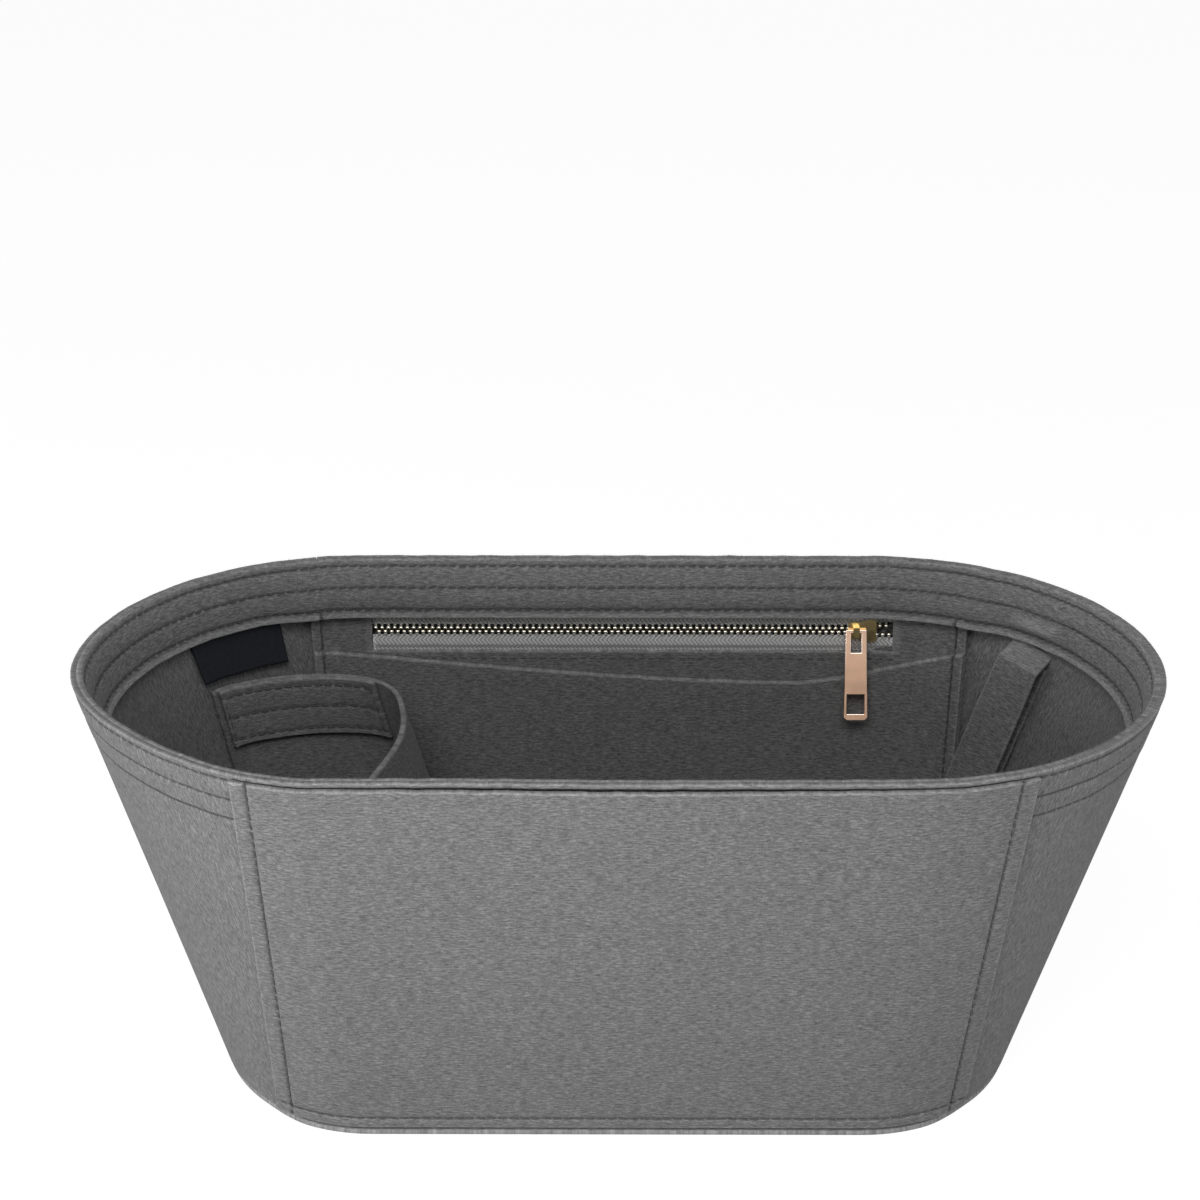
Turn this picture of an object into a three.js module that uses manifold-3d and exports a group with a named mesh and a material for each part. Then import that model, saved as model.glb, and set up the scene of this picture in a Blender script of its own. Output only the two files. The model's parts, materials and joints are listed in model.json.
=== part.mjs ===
// Felt purse organizer insert: tapered felt body, outer slip pockets, inside zip and slip pockets,
// bottle holder, key strap with a snap hook, and a bare woven label.
// Millimetres, +Z up, origin at the bottom centre of the base, front towards -Y.

import * as THREE from 'three';
import { mergeVertices } from 'three/addons/utils/BufferGeometryUtils.js';
import Module from 'manifold-3d';

// Felt and the clearances between sewn layers
const FELT = 2.2;
const LAP_GAP = 0.3;
const METAL_GAP = 0.3;

// Body: straight front and back, half-elliptical ends, wider at the rim than at the base.
// The front left corner is flatter than the ellipse.
const HEIGHT = 160;
const RIM_LENGTH = 400;
const RIM_DEPTH = 192;
const RIM_STRAIGHT = 200;
const BASE_LENGTH = 304;
const BASE_DEPTH = 138.6;
const BASE_STRAIGHT = 180;
const FRONT_LEFT_FLAT = 5;

// Band sewn inside the rim, in two lengths that meet on the back
const BAND_HEIGHT = 24;
const BAND_JOINT_LEFT_X = -129;
const BAND_JOINT_RIGHT_X = 109;
const BAND_STEP_TURN = 0.15;

// Outer slip pockets, front and back
const POCKET_TOP_WIDTH = 272;
const POCKET_BOTTOM_WIDTH = 252;
const POCKET_MOUTH_DROP = 2;
const POCKET_HEM_HEIGHT = 4;
const POCKET_SEAM_INSET = 6;
const POCKET_EASE = 1.5;
const FRONT_POCKET_TOP_SHIFT = 5.5;
const FRONT_POCKET_BOTTOM_SHIFT = 1.5;
const BACK_POCKET_SHIFT = 9.5;

// Inside zip pocket panel, its window and its tuck below the band
const ZIP_PANEL_TOP_WIDTH = 268;
const ZIP_PANEL_BOTTOM_WIDTH = 254;
const ZIP_PANEL_SHIFT = 9;
const ZIP_PANEL_TUCK = 8;
const ZIP_WINDOW_LENGTH = 210.6;
const ZIP_WINDOW_SHIFT = 6.7;
const ZIP_WINDOW_HEIGHT = 17.6;
const CHAIN_DROP = 5;

// Inside slip pocket: mouth height at its corners and at its low point
const SLIP_LEFT_DROP = 12;
const SLIP_RIGHT_DROP = 9;
const SLIP_LOW_DROP = 25.5;
const SLIP_LOW_X = 72;
const SLIP_MOUTH_POWER = 1.5;

// Zipper tapes and tooth rows
const TAPE_THICKNESS = 0.5;
const TOOTH_PITCH = 2.54;
const TOOTH_WIDTH = 1;
const TOOTH_DEPTH = 2;
const TOOTH_REACH = 0.4;
const SPINE_INNER = 1.8;
const SPINE_OUTER = 2.4;
const ROW_SPLAY = 1;

// Zipper slider, with the bridge that carries the pull tab
const SLIDER_X = 99;
const SLIDER_LENGTH = 11.4;
const SLIDER_PLATE = 0.9;
const SLIDER_FLANGE = 0.7;
const POST_LENGTH = 2.4;
const POST_WIDTH = 0.6;
const BRIDGE_WIDTH = 2.6;
const BRIDGE_SHIFT = -2.6;
const BRIDGE_BAR = 1.1;
const ZIP_TRAVEL = 189;

// Pull tab
const TAB_LENGTH = 36;
const TAB_TOP_WIDTH = 8.5;
const TAB_BOTTOM_WIDTH = 10;
const TAB_THICKNESS = 1.4;
const TAB_EYE_WIDTH = 4.2;
const TAB_EYE_LENGTH = 7.8;
const TAB_WINDOW_LENGTH = 7.9;
const TAB_WINDOW_WALL = 1.6;
const TAB_FOOT = 2.6;

// Bottle holder: a felt strip from the left end wall to the front wall
const HOLDER_DROP = 19;
const HOLDER_BAND_HEIGHT = 23;
const HOLDER_BAND_START = 0.02;
const HOLDER_BAND_END = 0.31;
const HOLDER_SEAM_GAP = 0.6;
const HOLDER_MARGIN_TURN = 0.06;
const HOLDER_BACK_TURN = 5.46;
const HOLDER_FRONT_TURN = 6.82;
const HOLDER_BEND = 5;

// Bottle holder's run between its seams: distance in from the left tip, and share of the half depth
const HOLDER_RUN = [
  [60, 0.83],
  [86, 0.81],
  [98, 0.7],
  [104, 0.45],
  [104, 0.2],
  [96, -0.15],
  [84, -0.6],
];

// Woven label on the left end wall
const LABEL_LENGTH = 41;
const LABEL_HEIGHT = 16;
const LABEL_THICKNESS = 0.8;
const LABEL_START_TURN = 5.26;
const LABEL_LIFT = 2.4;

// Key strap on the right end wall: a felt strip folded round the snap hook's eye
const STRAP_WIDTH = 18;
const STRAP_LENGTH = 75;
const STRAP_LAYER = 1.6;
const STRAP_TURN = 2.49;
const STRAP_FOOT_TURN = 2.56;
const STRAP_FOOT_LIFT = 6;
const STRAP_WALL_GAP = 1.2;
const STRAP_FOLD_FLARE = 14;

// Snap hook, its gate and the gate's pin
const EYE_BAR = 2;
const EYE_SIDE_GAP = 0.5;
const EYE_OPENING = 6;
const HOOK_THICKNESS = 3;
const HOOK_WIDTH = 17;
const HOOK_WALL = 3.4;
const HOOK_LENGTH = 24;
const HOOK_CORNER = 5;
const HOOK_NOSE = 6;
const GATE_WIDTH = 2.6;
const GATE_PIN_RADIUS = 0.8;
const GATE_PIN_GAP = 0.05;

// How finely curves are divided
const TURN_STEP = 1 / 14;
const STRAIGHT_STEPS = 8;
const PANEL_ROWS = 4;
const BAND_ROWS = 6;
const HOLDER_STEPS = 44;
const END_STEPS = 24;
const ARC_STEPS = 10;
const CORNER_STEPS = 5;
const TAPE_STEPS = 6;
const PIN_SIDES = 16;

const COLOURS = { felt: 0x5c5d60, tape: 0x55565a, gold: 0xd9a878, teeth: 0xd8b26a, label: 0x1a1c22 };

const { euclideanModulo, lerp, smoothstep } = THREE.MathUtils;
const QUARTER = Math.PI / 2;
const WHOLE_TURN = 8;
const BAND_BOTTOM = HEIGHT - BAND_HEIGHT;
const FLOOR = FELT + LAP_GAP;
const LAYER = FELT + LAP_GAP;

const wasm = await Module();
wasm.setup();

const organizer = new THREE.Group();

// Adds one named piece to its parent group
function addPiece(parent, name, geometry, colour, metalness = 0) {
  const roughness = metalness > 0 ? 0.3 : 0.95;
  const material = new THREE.MeshStandardMaterial({ color: COLOURS[colour], roughness, metalness });
  const mesh = new THREE.Mesh(geometry, material);
  mesh.name = name;
  parent.add(mesh);
  return mesh;
}

// Boolean cuts and joins
function toSolid(geometry) {
  const bare = new THREE.BufferGeometry();
  bare.setAttribute('position', geometry.getAttribute('position').clone());
  bare.setIndex(geometry.getIndex());
  const merged = mergeVertices(bare, 1e-4);
  const vertProperties = new Float32Array(merged.getAttribute('position').array);
  const triVerts = new Uint32Array(merged.getIndex().array);
  return new wasm.Manifold(new wasm.Mesh({ numProp: 3, vertProperties, triVerts }));
}

function fromSolid(solid) {
  const mesh = solid.getMesh();
  const geometry = new THREE.BufferGeometry();
  geometry.setAttribute('position', new THREE.BufferAttribute(new Float32Array(mesh.vertProperties), 3));
  geometry.setIndex(new THREE.BufferAttribute(new Uint32Array(mesh.triVerts), 1));
  geometry.computeVertexNormals();
  return geometry;
}

function cut(geometry, ...tools) {
  return fromSolid(tools.reduce((solid, tool) => solid.subtract(toSolid(tool)), toSolid(geometry)));
}

function join(...geometries) {
  return fromSolid(geometries.map(toSolid).reduce((sum, solid) => sum.add(solid)));
}

function boxBetween(low, high) {
  const size = high.map((value, axis) => value - low[axis]);
  const centre = high.map((value, axis) => (value + low[axis]) / 2);
  return new THREE.BoxGeometry(...size).translate(...centre);
}

// Closed shape from points in the X-Z plane, centred on Y with the given thickness
function plate(points, thickness, holes = []) {
  const shape = points instanceof THREE.Shape ? points : new THREE.Shape(points);
  shape.holes = holes.map((hole) => new THREE.Path(hole));
  const options = { depth: thickness, bevelEnabled: false, curveSegments: CORNER_STEPS };
  const geometry = new THREE.ExtrudeGeometry(shape, options);
  return geometry.translate(0, 0, -thickness / 2).rotateX(QUARTER);
}

function rectangle(left, bottom, right, top) {
  const corners = [[left, bottom], [right, bottom], [right, top], [left, top]];
  return corners.map(([x, y]) => new THREE.Vector2(x, y));
}

function mirrored(points) {
  const upper = points.map(([x, y]) => new THREE.Vector2(x, y));
  const lower = points.map(([x, y]) => new THREE.Vector2(x, -y)).reverse();
  return [...lower, ...upper];
}

// Half sizes of the body's outline at a height
function section(z) {
  const share = z / HEIGHT;
  return {
    straight: lerp(BASE_STRAIGHT, RIM_STRAIGHT, share) / 2,
    end: lerp(BASE_LENGTH - BASE_STRAIGHT, RIM_LENGTH - RIM_STRAIGHT, share) / 2,
    depth: lerp(BASE_DEPTH, RIM_DEPTH, share) / 2,
  };
}

// How far the front left corner of the body stands in from the ellipse, most at the rim
function cornerSet(around, z) {
  if (around <= 6) return 0;
  return FRONT_LEFT_FLAT * (z / HEIGHT) * Math.sin(Math.PI * (around - 6)) ** 2;
}

// Point on the body. turn: 0 front centre, 2 right tip, 4 back centre, 6 left tip. out: outwards.
function wallPoint(turn, z, out) {
  const { straight, end, depth } = section(z);
  const around = euclideanModulo(turn + 1, WHOLE_TURN) - 1;
  const offset = out - cornerSet(around, z);
  if (around <= 1) return new THREE.Vector3(around * straight, -depth - offset, z);
  if (around >= 3 && around <= 5) return new THREE.Vector3((4 - around) * straight, depth + offset, z);
  const isRight = around < 3;
  const angle = isRight ? (around - 2) * QUARTER : (around - 4) * QUARTER;
  const normal = new THREE.Vector2(Math.cos(angle) / end, Math.sin(angle) / depth).normalize();
  const x = (isRight ? straight : -straight) + end * Math.cos(angle) + offset * normal.x;
  const y = depth * Math.sin(angle) + offset * normal.y;
  return new THREE.Vector3(x, y, z);
}

// Turn at which the front or back of the body reaches a given x
function turnAt(x, z, onBack) {
  const { straight, end } = section(z);
  const past = Math.abs(x) - straight;
  const turn = past <= 0 ? x / straight : Math.sign(x) * (2 - Math.acos(past / end) / QUARTER);
  return onBack ? 4 - turn : turn;
}

// Felt panel bent to the body. Knots are the turns it passes, each a number or a function of height.
function bentPanel({ knots, bottom, top, outer, thickness, rows = PANEL_ROWS }) {
  const valueAt = (item, ...inputs) => (typeof item === 'function' ? item(...inputs) : item);
  const stations = [];
  for (let knot = 0; knot < knots.length - 1; knot += 1) {
    const spans = [0, HEIGHT].map((z) => valueAt(knots[knot + 1], z) - valueAt(knots[knot], z));
    const straightRun = typeof knots[knot] === 'number' && typeof knots[knot + 1] === 'number';
    const divisions = straightRun ? STRAIGHT_STEPS : Math.max(2, Math.ceil(Math.max(...spans) / TURN_STEP));
    for (let step = 0; step < divisions; step += 1) stations.push({ knot, share: step / divisions });
  }
  stations.push({ knot: knots.length - 2, share: 1 });
  const columns = stations.length - 1;
  const geometry = new THREE.BoxGeometry(1, 1, 1, columns, 1, rows);
  const position = geometry.getAttribute('position');
  for (let index = 0; index < position.count; index += 1) {
    const column = Math.round((position.getX(index) + 0.5) * columns);
    const rise = position.getZ(index) + 0.5;
    const inward = position.getY(index) + 0.5;
    const { knot, share } = stations[column];
    const across = column / columns;
    const turnFor = (z) => lerp(valueAt(knots[knot], z), valueAt(knots[knot + 1], z), share);
    const low = valueAt(bottom, turnFor, across);
    const high = valueAt(top, turnFor, across);
    const z = lerp(low, high, rise);
    const turn = turnFor(z);
    const offset = valueAt(outer, turn, z, across) - inward * thickness;
    const point = wallPoint(turn, z, offset);
    position.setXYZ(index, point.x, point.y, point.z);
  }
  return geometry;
}

// Side edges of a sewn panel, leaning between its bottom and top widths
function panelEdge(side, onBack, size, inset = 0) {
  return (z) => {
    const share = z / HEIGHT;
    const width = lerp(size.bottomWidth, size.topWidth, share);
    const shift = lerp(size.bottomShift, size.topShift, share);
    return turnAt(shift + side * (width / 2 - inset), z, onBack);
  };
}

const frontPocket = {
  topWidth: POCKET_TOP_WIDTH,
  bottomWidth: POCKET_BOTTOM_WIDTH,
  topShift: FRONT_POCKET_TOP_SHIFT,
  bottomShift: FRONT_POCKET_BOTTOM_SHIFT,
};
const backPocket = { ...frontPocket, topShift: BACK_POCKET_SHIFT, bottomShift: BACK_POCKET_SHIFT };
const zipPanel = {
  topWidth: ZIP_PANEL_TOP_WIDTH,
  bottomWidth: ZIP_PANEL_BOTTOM_WIDTH,
  topShift: ZIP_PANEL_SHIFT,
  bottomShift: ZIP_PANEL_SHIFT,
};

// Share of the way from the bare wall to the stack over the zip panel's tucked edge
function overZipPanel(turn, z) {
  const around = euclideanModulo(turn, WHOLE_TURN);
  const tuckTop = BAND_BOTTOM + ZIP_PANEL_TUCK;
  const fade = ZIP_PANEL_TUCK;
  const rise = 1 - smoothstep(z, tuckTop + LAP_GAP, tuckTop + LAP_GAP + fade);
  const left = panelEdge(-1, true, zipPanel)(z);
  const right = panelEdge(1, true, zipPanel)(z);
  const fromRight = smoothstep(around, right - BAND_STEP_TURN, right);
  const fromLeft = 1 - smoothstep(around, left, left + BAND_STEP_TURN);
  return rise * fromRight * fromLeft;
}

// Frame whose -Y faces the inside of the body and whose Z rises along the wall
function wallFrame(origin, up, outward) {
  const z = up.clone().normalize();
  const x = new THREE.Vector3().crossVectors(outward, z).normalize();
  const y = new THREE.Vector3().crossVectors(z, x);
  const group = new THREE.Group();
  group.quaternion.setFromRotationMatrix(new THREE.Matrix4().makeBasis(x, y, z));
  group.position.copy(origin);
  group.updateMatrixWorld();
  return group;
}

// Zipper frame: origin on the chain, in the middle of the zip panel's felt
const CHAIN_Z = BAND_BOTTOM - CHAIN_DROP;
const PANEL_MIDDLE = -(LAYER + FELT / 2);
const backRise = wallPoint(4, HEIGHT, 0).sub(wallPoint(4, 0, 0));
const zipper = wallFrame(wallPoint(4, CHAIN_Z, PANEL_MIDDLE), backRise, new THREE.Vector3(0, 1, 0));
const WINDOW_LEFT = ZIP_WINDOW_SHIFT - ZIP_WINDOW_LENGTH / 2;
const WINDOW_RIGHT = ZIP_WINDOW_SHIFT + ZIP_WINDOW_LENGTH / 2;
const CHANNEL_HALF_DEPTH = TOOTH_DEPTH / 2 + METAL_GAP;
const SLIDER_HALF_DEPTH = CHANNEL_HALF_DEPTH + SLIDER_PLATE;
const CHANNEL_NARROW = SPINE_OUTER + METAL_GAP;
const CHANNEL_WIDE = CHANNEL_NARROW + ROW_SPLAY;
const SLIDER_NARROW = CHANNEL_NARROW + SLIDER_FLANGE;
const SLIDER_WIDE = CHANNEL_WIDE + SLIDER_FLANGE;

// Base and walls
function addBody() {
  const outline = [];
  const ends = [[-1, 1, 1], [1, 3, END_STEPS], [3, 5, 1], [5, 7, END_STEPS]];
  for (const [from, to, count] of ends) {
    for (let step = 0; step < count; step += 1) {
      const point = wallPoint(lerp(from, to, step / count), 0, 0);
      outline.push(new THREE.Vector2(point.x, point.y));
    }
  }
  const base = new THREE.ExtrudeGeometry(new THREE.Shape(outline), { depth: FELT, bevelEnabled: false });
  addPiece(organizer, 'base_panel', base, 'felt');

  const half = LAP_GAP / 2;
  const wall = (knots) => bentPanel({ knots, bottom: FLOOR, top: HEIGHT, outer: 0, thickness: FELT });
  const seam = (side, onBack, size, beyond) => panelEdge(side, onBack, size, POCKET_SEAM_INSET - beyond);
  const front = wall([seam(-1, false, frontPocket, -half), -1, 1, seam(1, false, frontPocket, -half)]);
  addPiece(organizer, 'front_wall', front, 'felt');
  const right = wall([seam(1, false, frontPocket, half), seam(1, true, backPocket, half)]);
  addPiece(organizer, 'right_end_wall', right, 'felt');
  const back = wall([seam(1, true, backPocket, -half), 3, 5, seam(-1, true, backPocket, -half)]);
  const reach = SLIDER_LENGTH / 2 + METAL_GAP;
  const sliderGroove = boxBetween(
    [SLIDER_X - ZIP_TRAVEL - reach, -SLIDER_HALF_DEPTH, -SLIDER_WIDE - METAL_GAP],
    [SLIDER_X + reach, SLIDER_HALF_DEPTH + METAL_GAP, SLIDER_WIDE + METAL_GAP],
  );
  const chainGroove = boxBetween(
    [WINDOW_LEFT, -CHANNEL_HALF_DEPTH, -CHANNEL_WIDE],
    [WINDOW_RIGHT, CHANNEL_HALF_DEPTH, CHANNEL_WIDE],
  );
  const grooves = [sliderGroove, chainGroove].map((tool) => tool.applyMatrix4(zipper.matrixWorld));
  addPiece(organizer, 'back_wall', cut(back, ...grooves), 'felt');
  const pastLeft = (z) => seam(-1, false, frontPocket, half)(z) + WHOLE_TURN;
  const left = wall([seam(-1, true, backPocket, half), pastLeft]);
  addPiece(organizer, 'left_end_wall', left, 'felt');
}

function addRimBand() {
  const outer = (turn, z) => -LAYER - LAYER * overZipPanel(turn, z);
  const strip = (knots) => {
    return bentPanel({ knots, bottom: BAND_BOTTOM, top: HEIGHT, outer, thickness: FELT, rows: BAND_ROWS });
  };
  const joint = (x, add) => (z) => turnAt(x + add, z, true);
  const half = LAP_GAP / 2;
  const back = strip([joint(BAND_JOINT_RIGHT_X, -half), 3, 5, joint(BAND_JOINT_LEFT_X, half)]);
  addPiece(organizer, 'rim_band_back', back, 'felt');
  const leftJoint = (z) => joint(BAND_JOINT_LEFT_X, -half)(z) - WHOLE_TURN;
  addPiece(organizer, 'rim_band_front', strip([leftJoint, -1, 1, joint(BAND_JOINT_RIGHT_X, half)]), 'felt');
}

// Outer pockets ease away from the wall towards the middle of their mouths
function addOuterPocket(name, size, onBack) {
  const mouth = HEIGHT - POCKET_MOUTH_DROP;
  const outer = (turn, z, across) => {
    const rise = (z - POCKET_HEM_HEIGHT) / (mouth - POCKET_HEM_HEIGHT);
    return LAYER + POCKET_EASE * rise * (1 - (2 * across - 1) ** 2);
  };
  const edges = [panelEdge(-1, onBack, size), panelEdge(1, onBack, size)];
  const knots = onBack ? [edges[1], 3, 5, edges[0]] : [edges[0], -1, 1, edges[1]];
  const panel = bentPanel({ knots, bottom: POCKET_HEM_HEIGHT, top: mouth, outer, thickness: FELT });
  addPiece(organizer, name, panel, 'felt');
}

// Height of the inside slip pocket's mouth along its width
function slipMouth(x) {
  const edge = ZIP_PANEL_SHIFT + (Math.sign(x - SLIP_LOW_X) * ZIP_PANEL_TOP_WIDTH) / 2;
  const share = Math.abs((x - SLIP_LOW_X) / (edge - SLIP_LOW_X));
  const lift = Math.min(share, 1) ** SLIP_MOUTH_POWER;
  const corner = x < SLIP_LOW_X ? SLIP_LEFT_DROP : SLIP_RIGHT_DROP;
  return BAND_BOTTOM - SLIP_LOW_DROP + (SLIP_LOW_DROP - corner) * lift;
}

function addInnerPockets() {
  const knots = [panelEdge(1, true, zipPanel), 3, 5, panelEdge(-1, true, zipPanel)];
  const top = BAND_BOTTOM + ZIP_PANEL_TUCK;
  const panel = bentPanel({ knots, bottom: FLOOR, top, outer: -LAYER, thickness: FELT });
  const opening = boxBetween(
    [WINDOW_LEFT, -2 * LAYER, -ZIP_WINDOW_HEIGHT / 2],
    [WINDOW_RIGHT, 2 * LAYER, ZIP_WINDOW_HEIGHT / 2],
  );
  addPiece(organizer, 'zip_pocket_panel', cut(panel, opening.applyMatrix4(zipper.matrixWorld)), 'felt');

  const mouth = (turnFor) => slipMouth(wallPoint(turnFor(CHAIN_Z), CHAIN_Z, 0).x);
  const slip = bentPanel({ knots, bottom: FLOOR, top: mouth, outer: -2 * LAYER, thickness: FELT });
  addPiece(organizer, 'slip_pocket_panel', slip, 'felt');
}

// Tooth rows part inside the slider, on the way to its wide end
function splay(x) {
  const start = SLIDER_X - SLIDER_LENGTH / 8;
  const end = SLIDER_X + SLIDER_LENGTH / 2 - POST_LENGTH - TOOTH_PITCH / 2;
  return ROW_SPLAY * smoothstep(x, start, end);
}

function addChain() {
  const first = WINDOW_LEFT + METAL_GAP + TOOTH_PITCH / 2;
  const last = WINDOW_RIGHT - METAL_GAP - TOOTH_PITCH / 2;
  const count = Math.floor((last - first) / TOOTH_PITCH);
  for (const [name, side] of [['upper', 1], ['lower', -1]]) {
    const stagger = side > 0 ? 0 : TOOTH_PITCH / 2;
    const inner = [];
    const outer = [];
    for (let tooth = 0; tooth <= count; tooth += 1) {
      const x = first + stagger + tooth * TOOTH_PITCH;
      if (x > last) break;
      const shift = splay(x);
      const left = x - TOOTH_WIDTH / 2;
      const right = x + TOOTH_WIDTH / 2;
      inner.push([left, SPINE_INNER + shift], [left, shift - TOOTH_REACH]);
      inner.push([right, shift - TOOTH_REACH], [right, SPINE_INNER + shift]);
      const bends = splay(x - TOOTH_PITCH) !== splay(x + TOOTH_PITCH);
      if (bends || tooth === 0) outer.push([left, SPINE_OUTER + shift], [right, SPINE_OUTER + shift]);
    }
    const [rowEnd] = inner.at(-1);
    outer.push([rowEnd, SPINE_OUTER + ROW_SPLAY]);
    const row = [...inner, ...outer.reverse()].map(([x, z]) => new THREE.Vector2(x, side * z));
    addPiece(zipper, `zipper_teeth_${name}`, plate(row, TOOTH_DEPTH), 'teeth', 1);

    const tapeStart = WINDOW_LEFT + LAP_GAP;
    const tapeEnd = WINDOW_RIGHT - LAP_GAP;
    const outerEdge = ZIP_WINDOW_HEIGHT / 2 - LAP_GAP;
    const edge = [[tapeStart, outerEdge], [tapeStart, SPINE_OUTER + LAP_GAP]];
    for (let step = 0; step <= TAPE_STEPS; step += 1) {
      const x = SLIDER_X + SLIDER_LENGTH * (step / TAPE_STEPS - 0.5);
      edge.push([x, SPINE_OUTER + LAP_GAP + splay(x + TOOTH_PITCH)]);
    }
    edge.push([tapeEnd, SPINE_OUTER + LAP_GAP + ROW_SPLAY], [tapeEnd, outerEdge]);
    const tape = edge.map(([x, z]) => new THREE.Vector2(x, side * z));
    addPiece(zipper, `zipper_tape_${name}`, plate(tape, TAPE_THICKNESS), 'tape');
  }
}

// Slider: two plates joined by a post between the parted rows, with a bridge on the inner plate
const TAB_HALF = TAB_THICKNESS / 2;
const BRIDGE_CLEAR = TAB_HALF + METAL_GAP;
const HINGE_Y = -(SLIDER_HALF_DEPTH + BRIDGE_CLEAR);

function addSlider() {
  const half = SLIDER_LENGTH / 2;
  const shoulder = half / 2;
  const chamfer = SLIDER_FLANGE;
  const outline = mirrored([
    [half, SLIDER_WIDE - chamfer],
    [half - chamfer, SLIDER_WIDE],
    [shoulder, SLIDER_WIDE],
    [-shoulder / 2, SLIDER_NARROW],
    [chamfer - half, SLIDER_NARROW],
    [-half, SLIDER_NARROW - chamfer],
  ]);
  const channel = mirrored([
    [half + 1, CHANNEL_WIDE],
    [0, CHANNEL_WIDE],
    [-shoulder, CHANNEL_NARROW],
    [-half - 1, CHANNEL_NARROW],
  ]);
  const tapeSlot = TAPE_THICKNESS / 2 + METAL_GAP;
  const slot = boxBetween(
    [-SLIDER_LENGTH, -tapeSlot, -2 * SLIDER_WIDE],
    [SLIDER_LENGTH, tapeSlot, 2 * SLIDER_WIDE],
  );
  const shell = cut(plate(outline, 2 * SLIDER_HALF_DEPTH), plate(channel, 2 * CHANNEL_HALF_DEPTH), slot);
  const grip = SLIDER_PLATE / 2;
  const postEnd = half - chamfer / 2;
  const post = boxBetween(
    [postEnd - POST_LENGTH, -CHANNEL_HALF_DEPTH - grip, -POST_WIDTH / 2],
    [postEnd, CHANNEL_HALF_DEPTH + grip, POST_WIDTH / 2],
  );
  const legInner = TAB_HALF + METAL_GAP;
  const legOuter = legInner + BRIDGE_BAR;
  const barInner = HINGE_Y - BRIDGE_CLEAR;
  const arch = boxBetween(
    [-BRIDGE_WIDTH / 2, barInner - BRIDGE_BAR, -legOuter],
    [BRIDGE_WIDTH / 2, -SLIDER_HALF_DEPTH + grip, legOuter],
  );
  const underArch = boxBetween(
    [-BRIDGE_WIDTH, barInner, -legInner],
    [BRIDGE_WIDTH, -SLIDER_HALF_DEPTH, legInner],
  );
  const bridge = cut(arch, underArch).translate(BRIDGE_SHIFT, 0, 0);
  const body = join(shell, post, bridge).translate(SLIDER_X, 0, 0);
  addPiece(zipper, 'slider_body', body, 'gold', 1);
}

// Pull tab: hangs on the bridge and leans clear of the slip pocket's mouth all along its travel
function addPullTab() {
  const slipFront = -(LAYER + FELT / 2);
  const highest = slipMouth(SLIDER_X + BRIDGE_SHIFT - ZIP_TRAVEL - TAB_BOTTOM_WIDTH / 2);
  const reach = CHAIN_Z - highest;
  const lean = Math.atan2(HINGE_Y + TAB_HALF - slipFront + 2 * LAP_GAP, reach);
  const topHalf = TAB_TOP_WIDTH / 2;
  const footHalf = TAB_BOTTOM_WIDTH / 2;
  const corner = TAB_FOOT / 2;
  const outline = [
    [-topHalf, TAB_HALF],
    [-footHalf, corner - TAB_LENGTH],
    [corner - footHalf, -TAB_LENGTH],
    [footHalf - corner, -TAB_LENGTH],
    [footHalf, corner - TAB_LENGTH],
    [topHalf, TAB_HALF],
  ].map(([x, z]) => new THREE.Vector2(x, z));
  const eye = rectangle(-TAB_EYE_WIDTH / 2, -TAB_HALF - TAB_EYE_LENGTH, TAB_EYE_WIDTH / 2, -TAB_HALF);
  const windowHalf = footHalf - TAB_WINDOW_WALL;
  const windowFoot = TAB_FOOT - TAB_LENGTH;
  const opening = rectangle(-windowHalf, windowFoot, windowHalf, windowFoot + TAB_WINDOW_LENGTH);
  const hinge = new THREE.Group();
  hinge.position.set(SLIDER_X + BRIDGE_SHIFT, HINGE_Y, 0);
  hinge.rotation.x = -lean;
  zipper.add(hinge);
  addPiece(hinge, 'pull_tab', plate(outline, TAB_THICKNESS, [eye, opening]), 'gold', 1);
}

// Plan of the bottle holder's strip at a height: margin on the end wall, free run, margin on the front wall
function holderCurve(z) {
  const seamOffset = -(FELT + HOLDER_SEAM_GAP + FELT / 2);
  const { straight, end, depth } = section(z);
  const leftTip = -straight - end;
  const run = HOLDER_RUN.map(([inward, share]) => new THREE.Vector3(leftTip + inward, share * depth, z));
  return new THREE.CatmullRomCurve3([
    wallPoint(HOLDER_BACK_TURN + HOLDER_MARGIN_TURN, z, seamOffset),
    wallPoint(HOLDER_BACK_TURN, z, seamOffset),
    ...run,
    wallPoint(HOLDER_FRONT_TURN + HOLDER_MARGIN_TURN, z, seamOffset - HOLDER_BEND),
    wallPoint(HOLDER_FRONT_TURN, z, seamOffset),
    wallPoint(HOLDER_FRONT_TURN - HOLDER_MARGIN_TURN, z, seamOffset),
  ]);
}

// Felt strip along the holder's plan; side offset is positive towards the bottle
function holderStrip(from, to, bottom, top, offset) {
  const columns = Math.ceil(HOLDER_STEPS * (to - from));
  const geometry = new THREE.BoxGeometry(1, 1, 1, columns, 1, PANEL_ROWS);
  const position = geometry.getAttribute('position');
  for (let index = 0; index < position.count; index += 1) {
    const along = lerp(from, to, position.getX(index) + 0.5);
    const z = lerp(bottom, top, position.getZ(index) + 0.5);
    const curve = holderCurve(z);
    const point = curve.getPoint(along);
    const tangent = curve.getTangent(along);
    const side = offset - position.getY(index) * FELT;
    position.setXYZ(index, point.x + tangent.y * side, point.y - tangent.x * side, z);
  }
  return geometry;
}

function addBottleHolder() {
  const top = BAND_BOTTOM - HOLDER_DROP;
  addPiece(organizer, 'bottle_holder_wall', holderStrip(0, 1, FLOOR, top, 0), 'felt');
  const facing = holderStrip(HOLDER_BAND_START, HOLDER_BAND_END, top - HOLDER_BAND_HEIGHT, top, LAYER);
  addPiece(organizer, 'bottle_holder_band', facing, 'felt');
}

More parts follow.
